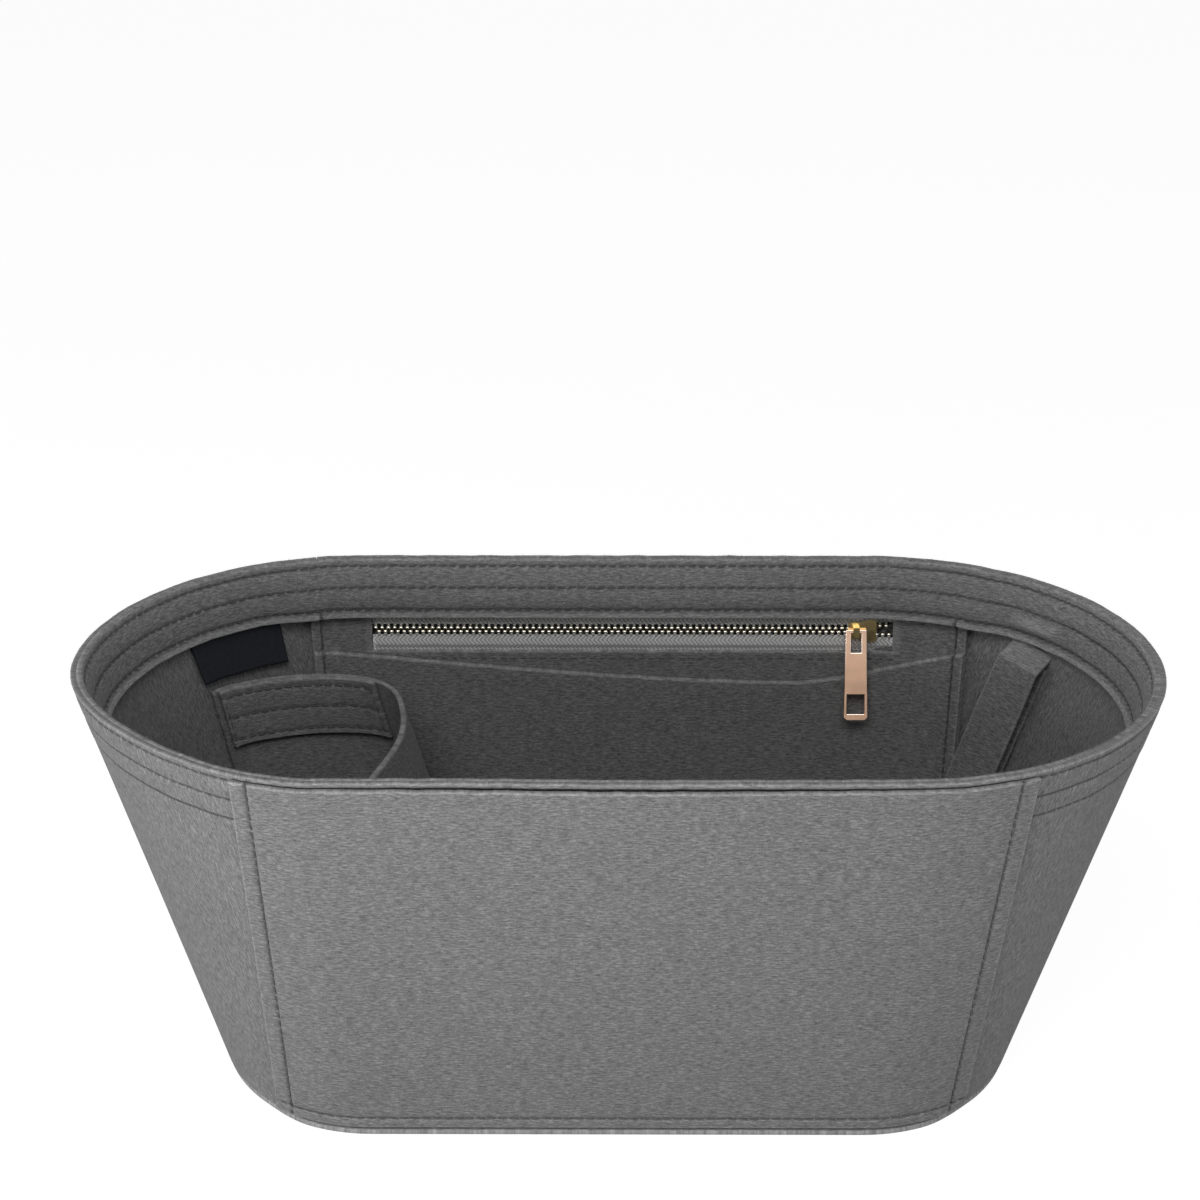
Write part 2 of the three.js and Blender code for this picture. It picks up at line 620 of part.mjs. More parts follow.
// Label: held at its top edge, lifting off the wall towards its lower edge
function addLabel() {
  const top = BAND_BOTTOM - LAP_GAP;
  const bottom = top - LABEL_HEIGHT;
  const outer = (turn, z) => -LAYER - (LABEL_LIFT * (top - z)) / LABEL_HEIGHT;
  const { end, depth } = section(top);
  const length = LABEL_LENGTH / ((end + depth) / 2);
  const knots = [LABEL_START_TURN, LABEL_START_TURN + length / QUARTER];
  const label = bentPanel({ knots, bottom, top, outer, thickness: LABEL_THICKNESS });
  addPiece(organizer, 'label', label, 'label');
}

// Key strap frame: origin on the strap's seam, in the middle of its two layers
const FOLD_INNER = EYE_BAR * Math.SQRT1_2 + METAL_GAP;
const FOLD_OUTER = FOLD_INNER + STRAP_LAYER;
const STRAP_TOP_HALF = STRAP_LAYER + LAP_GAP / 2;
const STRAP_Z = BAND_BOTTOM - STRAP_TOP_HALF - LAP_GAP;
const STRAP_OFFSET = -(FELT + STRAP_WALL_GAP + FOLD_OUTER);

function strapFrame() {
  const seam = wallPoint(STRAP_TURN, STRAP_Z, STRAP_OFFSET);
  const foot = wallPoint(STRAP_FOOT_TURN, STRAP_Z - STRAP_LENGTH, STRAP_OFFSET - STRAP_FOOT_LIFT);
  const middle = (STRAP_TURN + STRAP_FOOT_TURN) / 2;
  const outward = wallPoint(middle, STRAP_Z, 1).sub(wallPoint(middle, STRAP_Z, 0));
  return wallFrame(seam, seam.clone().sub(foot), outward);
}

// Side profile of the folded strap: round at its seam, flaring to the fold round the hook's eye
function addKeyStrap(strap) {
  const innerTop = LAP_GAP / 2;
  const flareTop = -STRAP_LENGTH + STRAP_FOLD_FLARE;
  const fold = (radius) => {
    const points = [];
    for (let step = 0; step <= ARC_STEPS; step += 1) {
      const angle = Math.PI * (1 + step / ARC_STEPS);
      points.push([radius * Math.cos(angle), -STRAP_LENGTH + radius * Math.sin(angle)]);
    }
    return points;
  };
  const outer = [[-STRAP_TOP_HALF, 0], [-STRAP_TOP_HALF, flareTop], ...fold(FOLD_OUTER)];
  outer.push([STRAP_TOP_HALF, flareTop], [STRAP_TOP_HALF, 0]);
  const cap = [];
  for (let step = 1; step < ARC_STEPS; step += 1) {
    const angle = (Math.PI * step) / ARC_STEPS;
    cap.push([STRAP_TOP_HALF * Math.cos(angle), STRAP_TOP_HALF * Math.sin(angle)]);
  }
  const gap = [[-innerTop, -STRAP_LAYER], [-innerTop, flareTop], ...fold(FOLD_INNER)];
  gap.push([innerTop, flareTop], [innerTop, -STRAP_LAYER]);
  const asVectors = (points) => points.map(([y, z]) => new THREE.Vector2(y, z));
  const geometry = plate(asVectors([...outer, ...cap]), STRAP_WIDTH, [asVectors(gap)]).rotateZ(QUARTER);
  addPiece(strap, 'key_strap', geometry, 'felt');
}

// Snap hook below the fold: eye, neck, and a hook whose side opening the gate closes
function addSnapHook(strap) {
  const hook = new THREE.Group();
  hook.position.set(0, 0, -STRAP_LENGTH);
  strap.add(hook);

  const bar = EYE_BAR / 2;
  const eyeHalf = STRAP_WIDTH / 2 + EYE_SIDE_GAP;
  const eyeFoot = -bar - EYE_OPENING;
  const eyeOuter = rectangle(-eyeHalf - EYE_BAR, eyeFoot - EYE_BAR, eyeHalf + EYE_BAR, bar);
  const eye = plate(eyeOuter, EYE_BAR, [rectangle(-eyeHalf, eyeFoot, eyeHalf, -bar)]);

  const half = HOOK_WIDTH / 2;
  const top = eyeFoot - EYE_BAR / 2;
  const foot = top - HOOK_LENGTH;
  const rounded = (left, low, right, high, radius) => {
    const shape = new THREE.Shape();
    shape.absarc(right - radius, high - radius, radius, 0, QUARTER);
    shape.absarc(left + radius, high - radius, radius, QUARTER, 2 * QUARTER);
    shape.absarc(left + radius, low + radius, radius, 2 * QUARTER, 3 * QUARTER);
    shape.absarc(right - radius, low + radius, radius, 3 * QUARTER, 4 * QUARTER);
    return shape;
  };
  const throatRadius = Math.max(HOOK_CORNER - HOOK_WALL / 2, 1);
  const outline = plate(rounded(-half, foot, half, top, HOOK_CORNER), HOOK_THICKNESS);
  const inner = half - HOOK_WALL;
  const throat = rounded(-inner, foot + HOOK_WALL, inner, top - HOOK_WALL, throatRadius);
  const gateTop = top - HOOK_CORNER;
  const gateFoot = foot + HOOK_WALL + HOOK_NOSE;
  const side = boxBetween(
    [-HOOK_WIDTH, -HOOK_THICKNESS, gateFoot],
    [HOOK_WALL - half, HOOK_THICKNESS, gateTop],
  );
  const pivotX = -half + HOOK_WALL / 2;
  const pivotZ = gateTop - GATE_WIDTH / 2 - METAL_GAP;
  const pinEnd = HOOK_THICKNESS / 2 + METAL_GAP;

  // Two cheeks on the neck carry the gate's pin
  const cheek = (y) => {
    const low = pivotZ - GATE_WIDTH / 2;
    const box = boxBetween(
      [pivotX - GATE_WIDTH / 2, y, low],
      [pivotX + GATE_WIDTH / 2, y + HOOK_THICKNESS / 4, gateTop + METAL_GAP],
    );
    return cut(box, pinHole());
  };
  const pinHole = () => {
    const pin = new THREE.CylinderGeometry(GATE_PIN_RADIUS, GATE_PIN_RADIUS, 4 * pinEnd, PIN_SIDES);
    return pin.translate(pivotX, 0, pivotZ);
  };
  const cheekOuter = HOOK_THICKNESS / 2;
  const frame = cut(outline, plate(throat, 2 * HOOK_THICKNESS), side);
  const body = join(eye, frame, cheek(-cheekOuter), cheek(cheekOuter - HOOK_THICKNESS / 4));
  addPiece(hook, 'snap_hook', body, 'gold', 1);

  const pivot = new THREE.Group();
  pivot.position.set(pivotX, 0, pivotZ);
  hook.add(pivot);
  const pinRadius = GATE_PIN_RADIUS - GATE_PIN_GAP;
  const pin = new THREE.CylinderGeometry(pinRadius, pinRadius, HOOK_THICKNESS, PIN_SIDES);
  addPiece(pivot, 'gate_pin', pin, 'gold', 1);

  const gateThickness = HOOK_THICKNESS / 2 - 2 * METAL_GAP;
  const gateLength = pivotZ - gateFoot - METAL_GAP;
  const gateShape = new THREE.Shape();
  gateShape.moveTo(GATE_WIDTH / 2, -gateLength);
  gateShape.lineTo(GATE_WIDTH / 2, 0);
  gateShape.absarc(0, 0, GATE_WIDTH / 2, 0, Math.PI);
  gateShape.lineTo(-GATE_WIDTH / 2, -gateLength);
  const bore = new THREE.CylinderGeometry(GATE_PIN_RADIUS, GATE_PIN_RADIUS, HOOK_THICKNESS, PIN_SIDES);
  addPiece(pivot, 'hook_gate', cut(plate(gateShape, gateThickness), bore), 'gold', 1);
}

addBody();
addRimBand();
addOuterPocket('front_pocket_panel', frontPocket, false);
addOuterPocket('back_pocket_panel', backPocket, true);
addInnerPockets();
addChain();
addSlider();
addPullTab();
organizer.add(zipper);
addBottleHolder();
addLabel();
const strap = strapFrame();
addKeyStrap(strap);
addSnapHook(strap);
organizer.add(strap);

export default organizer;
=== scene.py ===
# Looks of the felt purse organizer insert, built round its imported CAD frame.
# Metres, +Z up, front towards -Y. Places on the body are given by a turn (0 front centre, 2 right tip,
# 4 back centre, 6 left tip), a height, and an offset outwards from the outer face of the felt walls.

import json
import math

import bmesh
import bpy
import numpy as np
from mathutils import Matrix, Vector


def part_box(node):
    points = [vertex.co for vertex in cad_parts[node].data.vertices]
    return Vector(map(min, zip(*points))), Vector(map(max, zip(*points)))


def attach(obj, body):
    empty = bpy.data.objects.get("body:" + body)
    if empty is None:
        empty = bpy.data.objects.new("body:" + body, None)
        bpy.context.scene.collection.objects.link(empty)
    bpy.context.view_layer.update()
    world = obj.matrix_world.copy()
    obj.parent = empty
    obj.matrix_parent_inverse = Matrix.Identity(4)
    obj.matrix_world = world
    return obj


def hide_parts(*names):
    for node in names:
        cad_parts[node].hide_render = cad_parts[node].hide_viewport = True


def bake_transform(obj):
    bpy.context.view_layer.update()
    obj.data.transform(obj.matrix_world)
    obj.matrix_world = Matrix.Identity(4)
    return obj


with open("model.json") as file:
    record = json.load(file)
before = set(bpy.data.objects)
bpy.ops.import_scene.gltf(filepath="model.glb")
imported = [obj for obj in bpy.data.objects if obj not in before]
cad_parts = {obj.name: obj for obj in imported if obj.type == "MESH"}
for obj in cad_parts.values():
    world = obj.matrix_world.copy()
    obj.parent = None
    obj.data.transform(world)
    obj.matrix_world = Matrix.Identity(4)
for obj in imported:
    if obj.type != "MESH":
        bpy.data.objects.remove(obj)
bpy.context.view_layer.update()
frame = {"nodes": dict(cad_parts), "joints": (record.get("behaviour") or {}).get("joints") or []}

# Felt and its sewing. CUT_LINES and VALLEY_LINES are where grids are finer beside cuts and creases.
FELT = 0.0022
LAP_GAP = 0.0003
LAYER = FELT + LAP_GAP
CUT_RADIUS = 0.0005
RIM_RADIUS = 0.0007
BUTTED = 0.00008
CUT_LINES = (0.0, 0.00012, 0.0003, 0.0006, 0.0011)
PANEL_STEP = 0.004
STITCH_PITCH = 0.004
STITCH_REACH = 0.8
STITCH_PLACES = (-0.5, -0.38, -0.16, 0.16, 0.38, 0.5)
STITCH_RISE = (-1.25, 0.25, 0.75, 0.75, 0.25, -1.25)
THREAD_RADIUS = 0.00034
THREAD_SIDES = 6
VALLEY_DEPTH = 0.0007
VALLEY_WIDTH = 0.0007
VALLEY_LINES = (-0.0024, -0.0014, -0.0008, -0.0004, 0.0, 0.0004, 0.0008, 0.0014, 0.0024)
PUFF_POWER = 0.7
PROBE = 0.001

# Points along the lines that stitches and fibres follow
SEAM_POINTS = 120
ROW_POINTS = 400
LONG_ROW_POINTS = 900
RIM_POINTS = 1200

# Loose fibres, and how far their roots lie in from an edge's top and side
FUZZ_LENGTH = 0.0012
FUZZ_ROOT = 0.0002
FUZZ_RADIUS = 0.00007
FUZZ_PER_METRE = 1600
FUZZ_LEAN = 0.75
FUZZ_SHORTEST = 0.25
FUZZ_LENGTH_POWER = 1.5
FUZZ_DROP = 0.0003
FUZZ_JOINT_DROP = 0.0001
FUZZ_IN = 0.0004

# Unevenness of the walls, as waves of (count round the body, height, phase, slant), and the turns
# between which it fades out and in again beside the zipper
SWAY = 0.0007
SWAY_WAVES = ((3, 0.5, 1.3, 0), (5, 0.3, 0.4, 0), (9, 0.2, 2.1, 0))
STILL_FROM = (2.3, 2.9)
STILL_TO = (5.1, 5.7)
WOBBLE = 0.00008
WOBBLE_WAVES = ((41, 1.0, 0.7, 0), (67, 0.7, 2.9, 0), (113, 0.5, 1.1, 40))
WOBBLE_RISE = 0.03

# Body, from the frame and its two straight lengths
BASE_LOW, BASE_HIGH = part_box("base_panel")
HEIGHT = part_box("front_wall")[1].z
BASE_LENGTH = BASE_HIGH.x - BASE_LOW.x
BASE_DEPTH = BASE_HIGH.y - BASE_LOW.y
RIM_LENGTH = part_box("right_end_wall")[1].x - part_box("left_end_wall")[0].x
RIM_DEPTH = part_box("back_wall")[1].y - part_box("front_wall")[0].y
BASE_STRAIGHT = 0.180
RIM_STRAIGHT = 0.200
FRONT_LEFT_FLAT = 0.005
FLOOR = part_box("front_wall")[0].z
BAND_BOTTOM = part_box("rim_band_back")[0].z
BAND_HEM = BAND_BOTTOM + 0.0015
WHOLE_TURN = 8
QUARTER = math.pi / 2
UP = np.array([0.0, 0.0, 1.0])

# Rim band: stitched rows, joints on the back, and where it closes on the wall below the rim
RIM_ROWS = [HEIGHT - drop for drop in (0.0029, 0.0113, 0.0197)]
BAND_PUFF = 0.00035
BAND_KICK = 0.0017
BAND_STEP = 0.0015
CLOSE_DROPS = (0.006, 0.001)
# Painted light: the band's hem below its lowest row and its swelling over the key strap are painted pale,
# where they face up to the light
HEM_PAINTED_LIGHT = 0.8
BUMP_PAINTED_LIGHT = 1.0
WALL_PUFF = 0.0002
BAND_JOINT_LEFT_X = -0.129
BAND_JOINT_RIGHT_X = 0.109
BAND_STEP_TURN = 0.15

# Base panel, which shows as a lip below the outer pockets
BASE_LIP = 0.0019
BASE_LIP_FADE = (0.112, 0.132)
BASE_COLUMNS = 321
BASE_INSETS = (0.003, 0.012, 0.03, 0.05)
BASE_MIDDLE = 0.06
BASE_FILL = 0.93

# Outer slip pockets
POCKET_WIDTHS = (0.252, 0.272)
POCKET_SEAM_INSET = 0.006
POCKET_EASE = 0.0012
# Width of the painted light along pocket mouths
MOUTH_EDGE = 0.0007
POCKET_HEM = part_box("front_pocket_panel")[0].z
POCKET_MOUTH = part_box("front_pocket_panel")[1].z + 0.0005
POCKET_BOTTOM_ROW = 0.0085
FRONT_POCKET = {"widths": POCKET_WIDTHS, "shifts": (0.0015, 0.0055), "on_back": False}
BACK_POCKET = {"widths": POCKET_WIDTHS, "shifts": (0.0095, 0.0095), "on_back": True}

# Inside zip panel and slip pocket
ZIP_PANEL = {"widths": (0.254, 0.268), "shifts": (0.009, 0.009), "on_back": True}
ZIP_PANEL_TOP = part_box("zip_pocket_panel")[1].z
ZIP_TUCK = ZIP_PANEL_TOP - BAND_BOTTOM
ZIP_SEAM_INSET = 0.004
SEAM_KNOTS = (1, 4)
SEAM_START = 0.004
SEAM_BREAK = 0.001
WINDOW_ROW_GAP = 0.003
BACK_TILT = math.atan2((RIM_DEPTH - BASE_DEPTH) / 2, HEIGHT)
WINDOW_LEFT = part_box("zipper_tape_lower")[0].x - LAP_GAP
WINDOW_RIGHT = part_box("zipper_tape_lower")[1].x + LAP_GAP
WINDOW_HEIGHT = 0.0176
CHAIN_Z = (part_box("zipper_tape_lower")[0].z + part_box("zipper_tape_upper")[1].z) / 2
WINDOW_LOW = CHAIN_Z - WINDOW_HEIGHT / 2 * math.cos(BACK_TILT)
WINDOW_HIGH = CHAIN_Z + WINDOW_HEIGHT / 2 * math.cos(BACK_TILT)
SLIP_LEFT_DROP = 0.012
SLIP_RIGHT_DROP = 0.009
SLIP_LOW_DROP = 0.0255
SLIP_LOW_X = 0.072
SLIP_MOUTH_POWER = 1.5
SLIP_LOW_ROUND = 0.12

# Zipper chain. The tapes' outer margins lie behind the zip panel.
TAPE_THICKNESS = 0.00024
TAPE_MARGIN = 0.0048
TAPE_SET_BACK = 0.00125
TAPE_BEND = (0.0026, 0.0004)
TAPE_GRID = (120, 24)
TAPE_FOLD = 0.0019
TAPE_RIB = 0.0017
TOOTH_PITCH = 0.00254
TOOTH_RINGS = 8
TOOTH_SIDES = 14
TOOTH_POWER = 0.75
HEAD_SIZE = (0.0018, 0.0024)
HEAD_SPAN = (0.0001, 0.0015)
LEG_SIZE = (0.0012, 0.0015)
LEG_SPAN = (0.0013, 0.0027)
BEAD_INNER = 0.0022
ROW_SPLAY = 0.001
SLIDER_X = sum(corner.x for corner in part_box("slider_body")) / 2
SLIDER_LENGTH = 0.0114
POST_LENGTH = 0.0024
GROOVE_DEPTH = 0.0012
GROOVE_HALF = 0.0047
GROOVE_LINES = (-1.1, -1, 1, 1.1)
GROOVE_REACH = 1.05
ZIP_TRAVEL = 0.189

# Bottle holder. Its run is given as distances in from the left tip and shares of the body's half depth.
HOLDER_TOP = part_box("bottle_holder_wall")[1].z
HOLDER_ROWS = [HOLDER_TOP - drop for drop in (0.003, 0.0115, 0.0205)]
HOLDER_BAND_HEIGHT = 0.023
HOLDER_BAND_SPAN = (0.02, 0.31)
HOLDER_SEAM_GAP = 0.0006
HOLDER_MARGIN_TURN = 0.06
HOLDER_BACK_TURN = 5.46
HOLDER_FRONT_TURN = 6.82
HOLDER_BEND = 0.005
HOLDER_RUN = (
    (0.060, 0.83),
    (0.086, 0.81),
    (0.098, 0.7),
    (0.104, 0.45),
    (0.104, 0.2),
    (0.096, -0.15),
    (0.084, -0.6),
)
HOLDER_PUFF = 0.0002
HOLDER_CREASE = 0.55
HOLDER_LINES = (0.0, 0.0005, 0.0015, 0.004)
HOLDER_STEP = 0.012
FACING_STEP = 0.006
FACING_ROW_STEP = 0.002
FACING_ROW_INSET = 0.004
FACING_SIDE_INSETS = (0.008, -0.012)
FACING_SIDE_MARGIN = 0.002

# Label
LABEL_LENGTH = 0.041
LABEL_HEIGHT = 0.016
LABEL_THICKNESS = 0.0008
LABEL_START_TURN = 5.26
LABEL_LIFT = 0.0024
LABEL_LIFT_POWER = 1.4
LABEL_GRID = (60, 30)
LABEL_THREAD = 0.0006

# Key strap. Its path runs down to the fold at the hook and up again, as distances out towards the
# wall and heights from the seam.
STRAP_WIDTH = 0.018
STRAP_LAYER = 0.0016
STRAP_FOLD = 0.0033
STRAP_DOWN = (
    (0.0034, 0.0036),
    (0.0022, 0.0012),
    (-0.001, -0.0018),
    (-0.0037, -0.0043),
    (-0.0043, -0.0051),
    (-0.0045, -0.0067),
    (-0.0042, -0.02),
    (-0.0038, -0.04),
)
STRAP_UP = ((0.0037, -0.036), (0.0039, -0.02), (0.004, -0.009), (0.004, -0.003))
STRAP_FOLD_POINTS = 9
STRAP_POINTS = 140
STRAP_STEP = 0.002
STRAP_TURN = 2.49
STRAP_BUMP = 0.0024
STRAP_BUMP_TURN = 0.07
STRAP_CREASE = -0.0046
# Painted light: how pale the strap's patch above its crease is painted, where it faces up to the light
STRAP_PAINTED_LIGHT = 0.85
STRAP_TWIST = math.radians(10)

# Camera, at the photograph's viewpoint
CAMERA_TARGET = Vector((-0.00628, 0.0, 0.18379))
CAMERA_DISTANCE = 0.91703
CAMERA_ELEVATION = math.radians(24.478)
CAMERA_YAW = 0.0038
CAMERA_LENS = 75.73
SENSOR = 36.0

# Studio light: world strength, the white that the floor adds to its own lit colour, and lamps as name,
# place, width, height and watts
AMBIENT = 0.17
WHITE = (1.0, 1.0, 1.0, 1.0)
FLOOR_COLOUR = (0.18, 0.18, 0.18, 1.0)
FLOOR_WHITE = 0.93
FLOOR_REACH = 6.0
FLOOR_Z = -0.0002
LAMP_AIM = Vector((0.0, 0.0, 0.08))
LAMPS = (
    ("front_light", (-0.08, -0.38, 0.165), 0.55, 0.06, 0.85),
    ("left_light", (-1.25, -0.35, 0.23), 0.8, 0.25, 8.4),
    ("right_light", (1.25, -0.35, 0.21), 0.8, 0.25, 5.0),
    ("top_light", (-0.12, -0.8, 1.2), 1.0, 0.6, 6.0),
)


def mix(a, b, share):
    return a + (b - a) * share


def smoothstep(value, low, high):
    share = np.clip((value - low) / (high - low), 0.0, 1.0)
    return share * share * (3.0 - 2.0 * share)


def unit(vectors):
    return vectors / np.linalg.norm(vectors, axis=-1, keepdims=True)


def at_height(knot, z):
    """Value of a knot, which is a number or a function of height."""
    return knot(z) if callable(knot) else knot


# Body surface

def section(z):
    """Half sizes of the body's outline at a height: straight run, end and depth."""
    share = np.asarray(z, float) / HEIGHT
    straight = mix(BASE_STRAIGHT, RIM_STRAIGHT, share) / 2
    end = mix(BASE_LENGTH - BASE_STRAIGHT, RIM_LENGTH - RIM_STRAIGHT, share) / 2
    depth = mix(BASE_DEPTH, RIM_DEPTH, share) / 2
    return straight, end, depth


def waves(around, z, table):
    """Sum of a table's waves round the body."""
    angle = 2 * math.pi * around / WHOLE_TURN
    return sum(height * np.sin(count * angle + phase + slant * z) for count, height, phase, slant in table)


def sway(around, z):
    """Slow unevenness of the felt walls, none at the base and along the zipper."""
    off_back = 1 - smoothstep(around, *STILL_FROM) * (1 - smoothstep(around, *STILL_TO))
    return SWAY * waves(around, z, SWAY_WAVES) * off_back * z / HEIGHT


def corner_set(around, z):
    """How far the front left corner stands in from the ellipse, most at the rim."""
    return FRONT_LEFT_FLAT * z / HEIGHT * np.where(around > 6, np.sin(math.pi * (around - 6)) ** 2, 0.0)


def wobble(around, z):
    """Small rise and fall of edges and sewn rows, none at the base."""
    return WOBBLE * waves(around, z, WOBBLE_WAVES) * smoothstep(z, 0.0, WOBBLE_RISE)


def wall_point(turn, z, offset):
    """Points on the body, from arrays of turns, heights and offsets."""
    turn, z, offset = np.broadcast_arrays(turn, z, offset)
    straight, end, depth = section(z)
    around = np.mod(turn + 1.0, WHOLE_TURN) - 1.0
    offset = offset + sway(around, z) - corner_set(around, z)
    right = around < 3
    angle = np.where(right, around - 2, around - 4) * QUARTER
    normal = np.stack([np.cos(angle) / end, np.sin(angle) / depth])
    normal = normal / np.linalg.norm(normal, axis=0)
    x = np.where(right, straight, -straight) + end * np.cos(angle) + offset * normal[0]
    y = depth * np.sin(angle) + offset * normal[1]
    front = around <= 1
    back = (around >= 3) & (around <= 5)
    x = np.where(front, around * straight, np.where(back, (4 - around) * straight, x))
    y = np.where(front, -depth - offset, np.where(back, depth + offset, y))
    return np.stack([x, y, z + wobble(around, z)], axis=-1)


def turn_at(x, z, on_back):
    """Turn at which the front or back of the body reaches a given x."""
    straight, end, _ = section(z)
    past = np.abs(x) - straight
    bend = np.sign(x) * (2 - np.arccos(np.clip(past / end, -1, 1)) / QUARTER)
    turn = np.where(past <= 0, x / straight, bend)
    return 4 - turn if on_back else turn


def back_turn(x, beyond=0.0):
    """Turn of an upright line on the back as a function of height."""
    return lambda z: turn_at(x, z, True) + beyond


def panel_edge(side, size, inset=0.0, beyond=0.0):
    """Turn of a sewn panel's side edge as a function of height."""
    def edge(z):
        share = np.asarray(z, float) / HEIGHT
        width = mix(*size["widths"], share)
        shift = mix(*size["shifts"], share)
        return turn_at(shift + side * (width / 2 - inset), z, size["on_back"]) + beyond
    return edge


def panel_edges(size, inset=0.0):
    """The left and right edges of a panel, or its seams where there is an inset."""
    return [panel_edge(side, size, inset) for side in (-1, 1)]


ZIP_EDGES = panel_edges(ZIP_PANEL)
ZIP_SEAMS = panel_edges(ZIP_PANEL, ZIP_SEAM_INSET)


def over_zip_panel(turn, z):
    """Share of the way from the bare wall to the stack over the zip panel's tucked edge."""
    around = np.mod(turn, WHOLE_TURN)
    rise = 1 - smoothstep(z, ZIP_PANEL_TOP + LAP_GAP, ZIP_PANEL_TOP + LAP_GAP + ZIP_TUCK)
    left, right = [edge(z) for edge in ZIP_EDGES]
    from_right = smoothstep(around, right - BAND_STEP_TURN, right)
    from_left = 1 - smoothstep(around, left, left + BAND_STEP_TURN)
    return rise * from_right * from_left


def valley(distance):
    """Depth of the crease that a row of stitches pulls into felt."""
    return VALLEY_DEPTH * np.exp(-((distance / VALLEY_WIDTH) ** 2))


def row_dip(z, rows):
    """Depth of the creases along level rows of stitches."""
    return sum(valley(z - row) for row in rows)


def seam_dip(turn, z, seams):
    """Depth of the creases along seams that run up a panel."""
    dip = 0.0
    for seam in seams:
        gap = wall_point(turn, z, 0.0) - wall_point(np.broadcast_to(seam(z), turn.shape), z, 0.0)
        dip = dip + valley(np.linalg.norm(gap, axis=-1))
    return dip


def strip_puff(z, rows):
    """Swelling between stitched rows, from 0 at a row to 1 half way to the next."""
    swell = np.zeros(np.shape(z))
    for high, low in zip(rows, rows[1:]):
        share = np.clip((z - low) / (high - low), 0, 1)
        swell = swell + (4 * share * (1 - share)) ** PUFF_POWER
    return swell


# Meshes

def lengths(points, axis):
    """Running length along one axis of a grid of points."""
    steps = np.linalg.norm(np.diff(points, axis=axis), axis=-1)
    return np.concatenate([np.zeros_like(np.take(steps, [0], axis)), np.cumsum(steps, axis)], axis)


def trace(values, along, at):
    """Places or directions along a line, at given lengths."""
    return np.stack([np.interp(at, along, values[:, axis]) for axis in range(3)], axis=-1)


def make_object(name, vertices, faces, uv=None, edge=None):
    used, compact = np.unique(np.concatenate([np.ravel(f) for f in faces]), return_inverse=True)
    counts = np.concatenate([np.full(len(f), np.shape(f)[1]) for f in faces])
    mesh = bpy.data.meshes.new(name)
    split = np.split(compact, np.cumsum(counts)[:-1])
    mesh.from_pydata(vertices[used].tolist(), [], [face.tolist() for face in split])
    mesh.polygons.foreach_set("use_smooth", np.ones(len(mesh.polygons), bool))
    if uv is not None:
        layer = mesh.uv_layers.new(name="felt")
        layer.data.foreach_set("uv", uv[used][compact].astype(np.float32).ravel())
    if edge is not None:
        attribute = mesh.attributes.new("edge", "FLOAT", "POINT")
        attribute.data.foreach_set("value", edge[used].astype(np.float32))
    mesh.update()
    obj = bpy.data.objects.new(name, mesh)
    bpy.context.scene.collection.objects.link(obj)
    return obj


def joined(pieces):
    """Vertices and face groups of several pieces, as those of one."""
    vertices, faces, total = [], [], 0
    for points, groups in pieces:
        vertices.append(points)
        faces.extend(group + total for group in groups)
        total += len(points)
    return np.concatenate(vertices), faces


def merge_close(obj):
    """Joins vertices that lie on each other."""
    edit = bmesh.new()
    edit.from_mesh(obj.data)
    bmesh.ops.remove_doubles(edit, verts=edit.verts, dist=1e-7)
    edit.to_mesh(obj.data)
    edit.free()


def dress(obj, slot, material, *nodes):
    """Gives a piece of the insert its material, hangs it on the insert's body and hides the CAD nodes that
    it stands for.
    """
    obj.data.materials.append(material)
    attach(obj, "insert")
    if nodes:
        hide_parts(*nodes)


def declare(obj):
    width, length, area = obj["flat"]
    del obj["flat"]


def rounding(edge, radius):
    """How far a rounded edge draws a face back at a distance from the cut."""
    left = radius - np.clip(edge, 0, radius)
    return radius - np.sqrt(radius ** 2 - left ** 2)


def grid_quads(index):
    return np.stack([index[:-1, :-1], index[1:, :-1], index[1:, 1:], index[:-1, 1:]], axis=-1)


def border(index):
    """Loop of indices round a grid."""
    return np.concatenate([index[:-1, 0], index[-1, :-1], index[:0:-1, -1], index[0, :0:-1]])


def cut_share(edge):
    """How much of a cut shows at a distance from it, from 1 to 0."""
    return np.clip(1 - edge / CUT_LINES[-1], 0, 1)


def flat_size(middle, keep):
    """Width, length and area of a sheet's middle surface, without its opening."""
    cells = np.cross(middle[1:, 1:] - middle[:-1, :-1], middle[:-1, 1:] - middle[1:, :-1])
    area = float(np.linalg.norm(cells, axis=-1)[keep].sum() / 2)
    width, length = float(lengths(middle, 0)[-1].max()), float(lengths(middle, 1)[:, -1].max())
    return [width, length, min(area, width * length)]


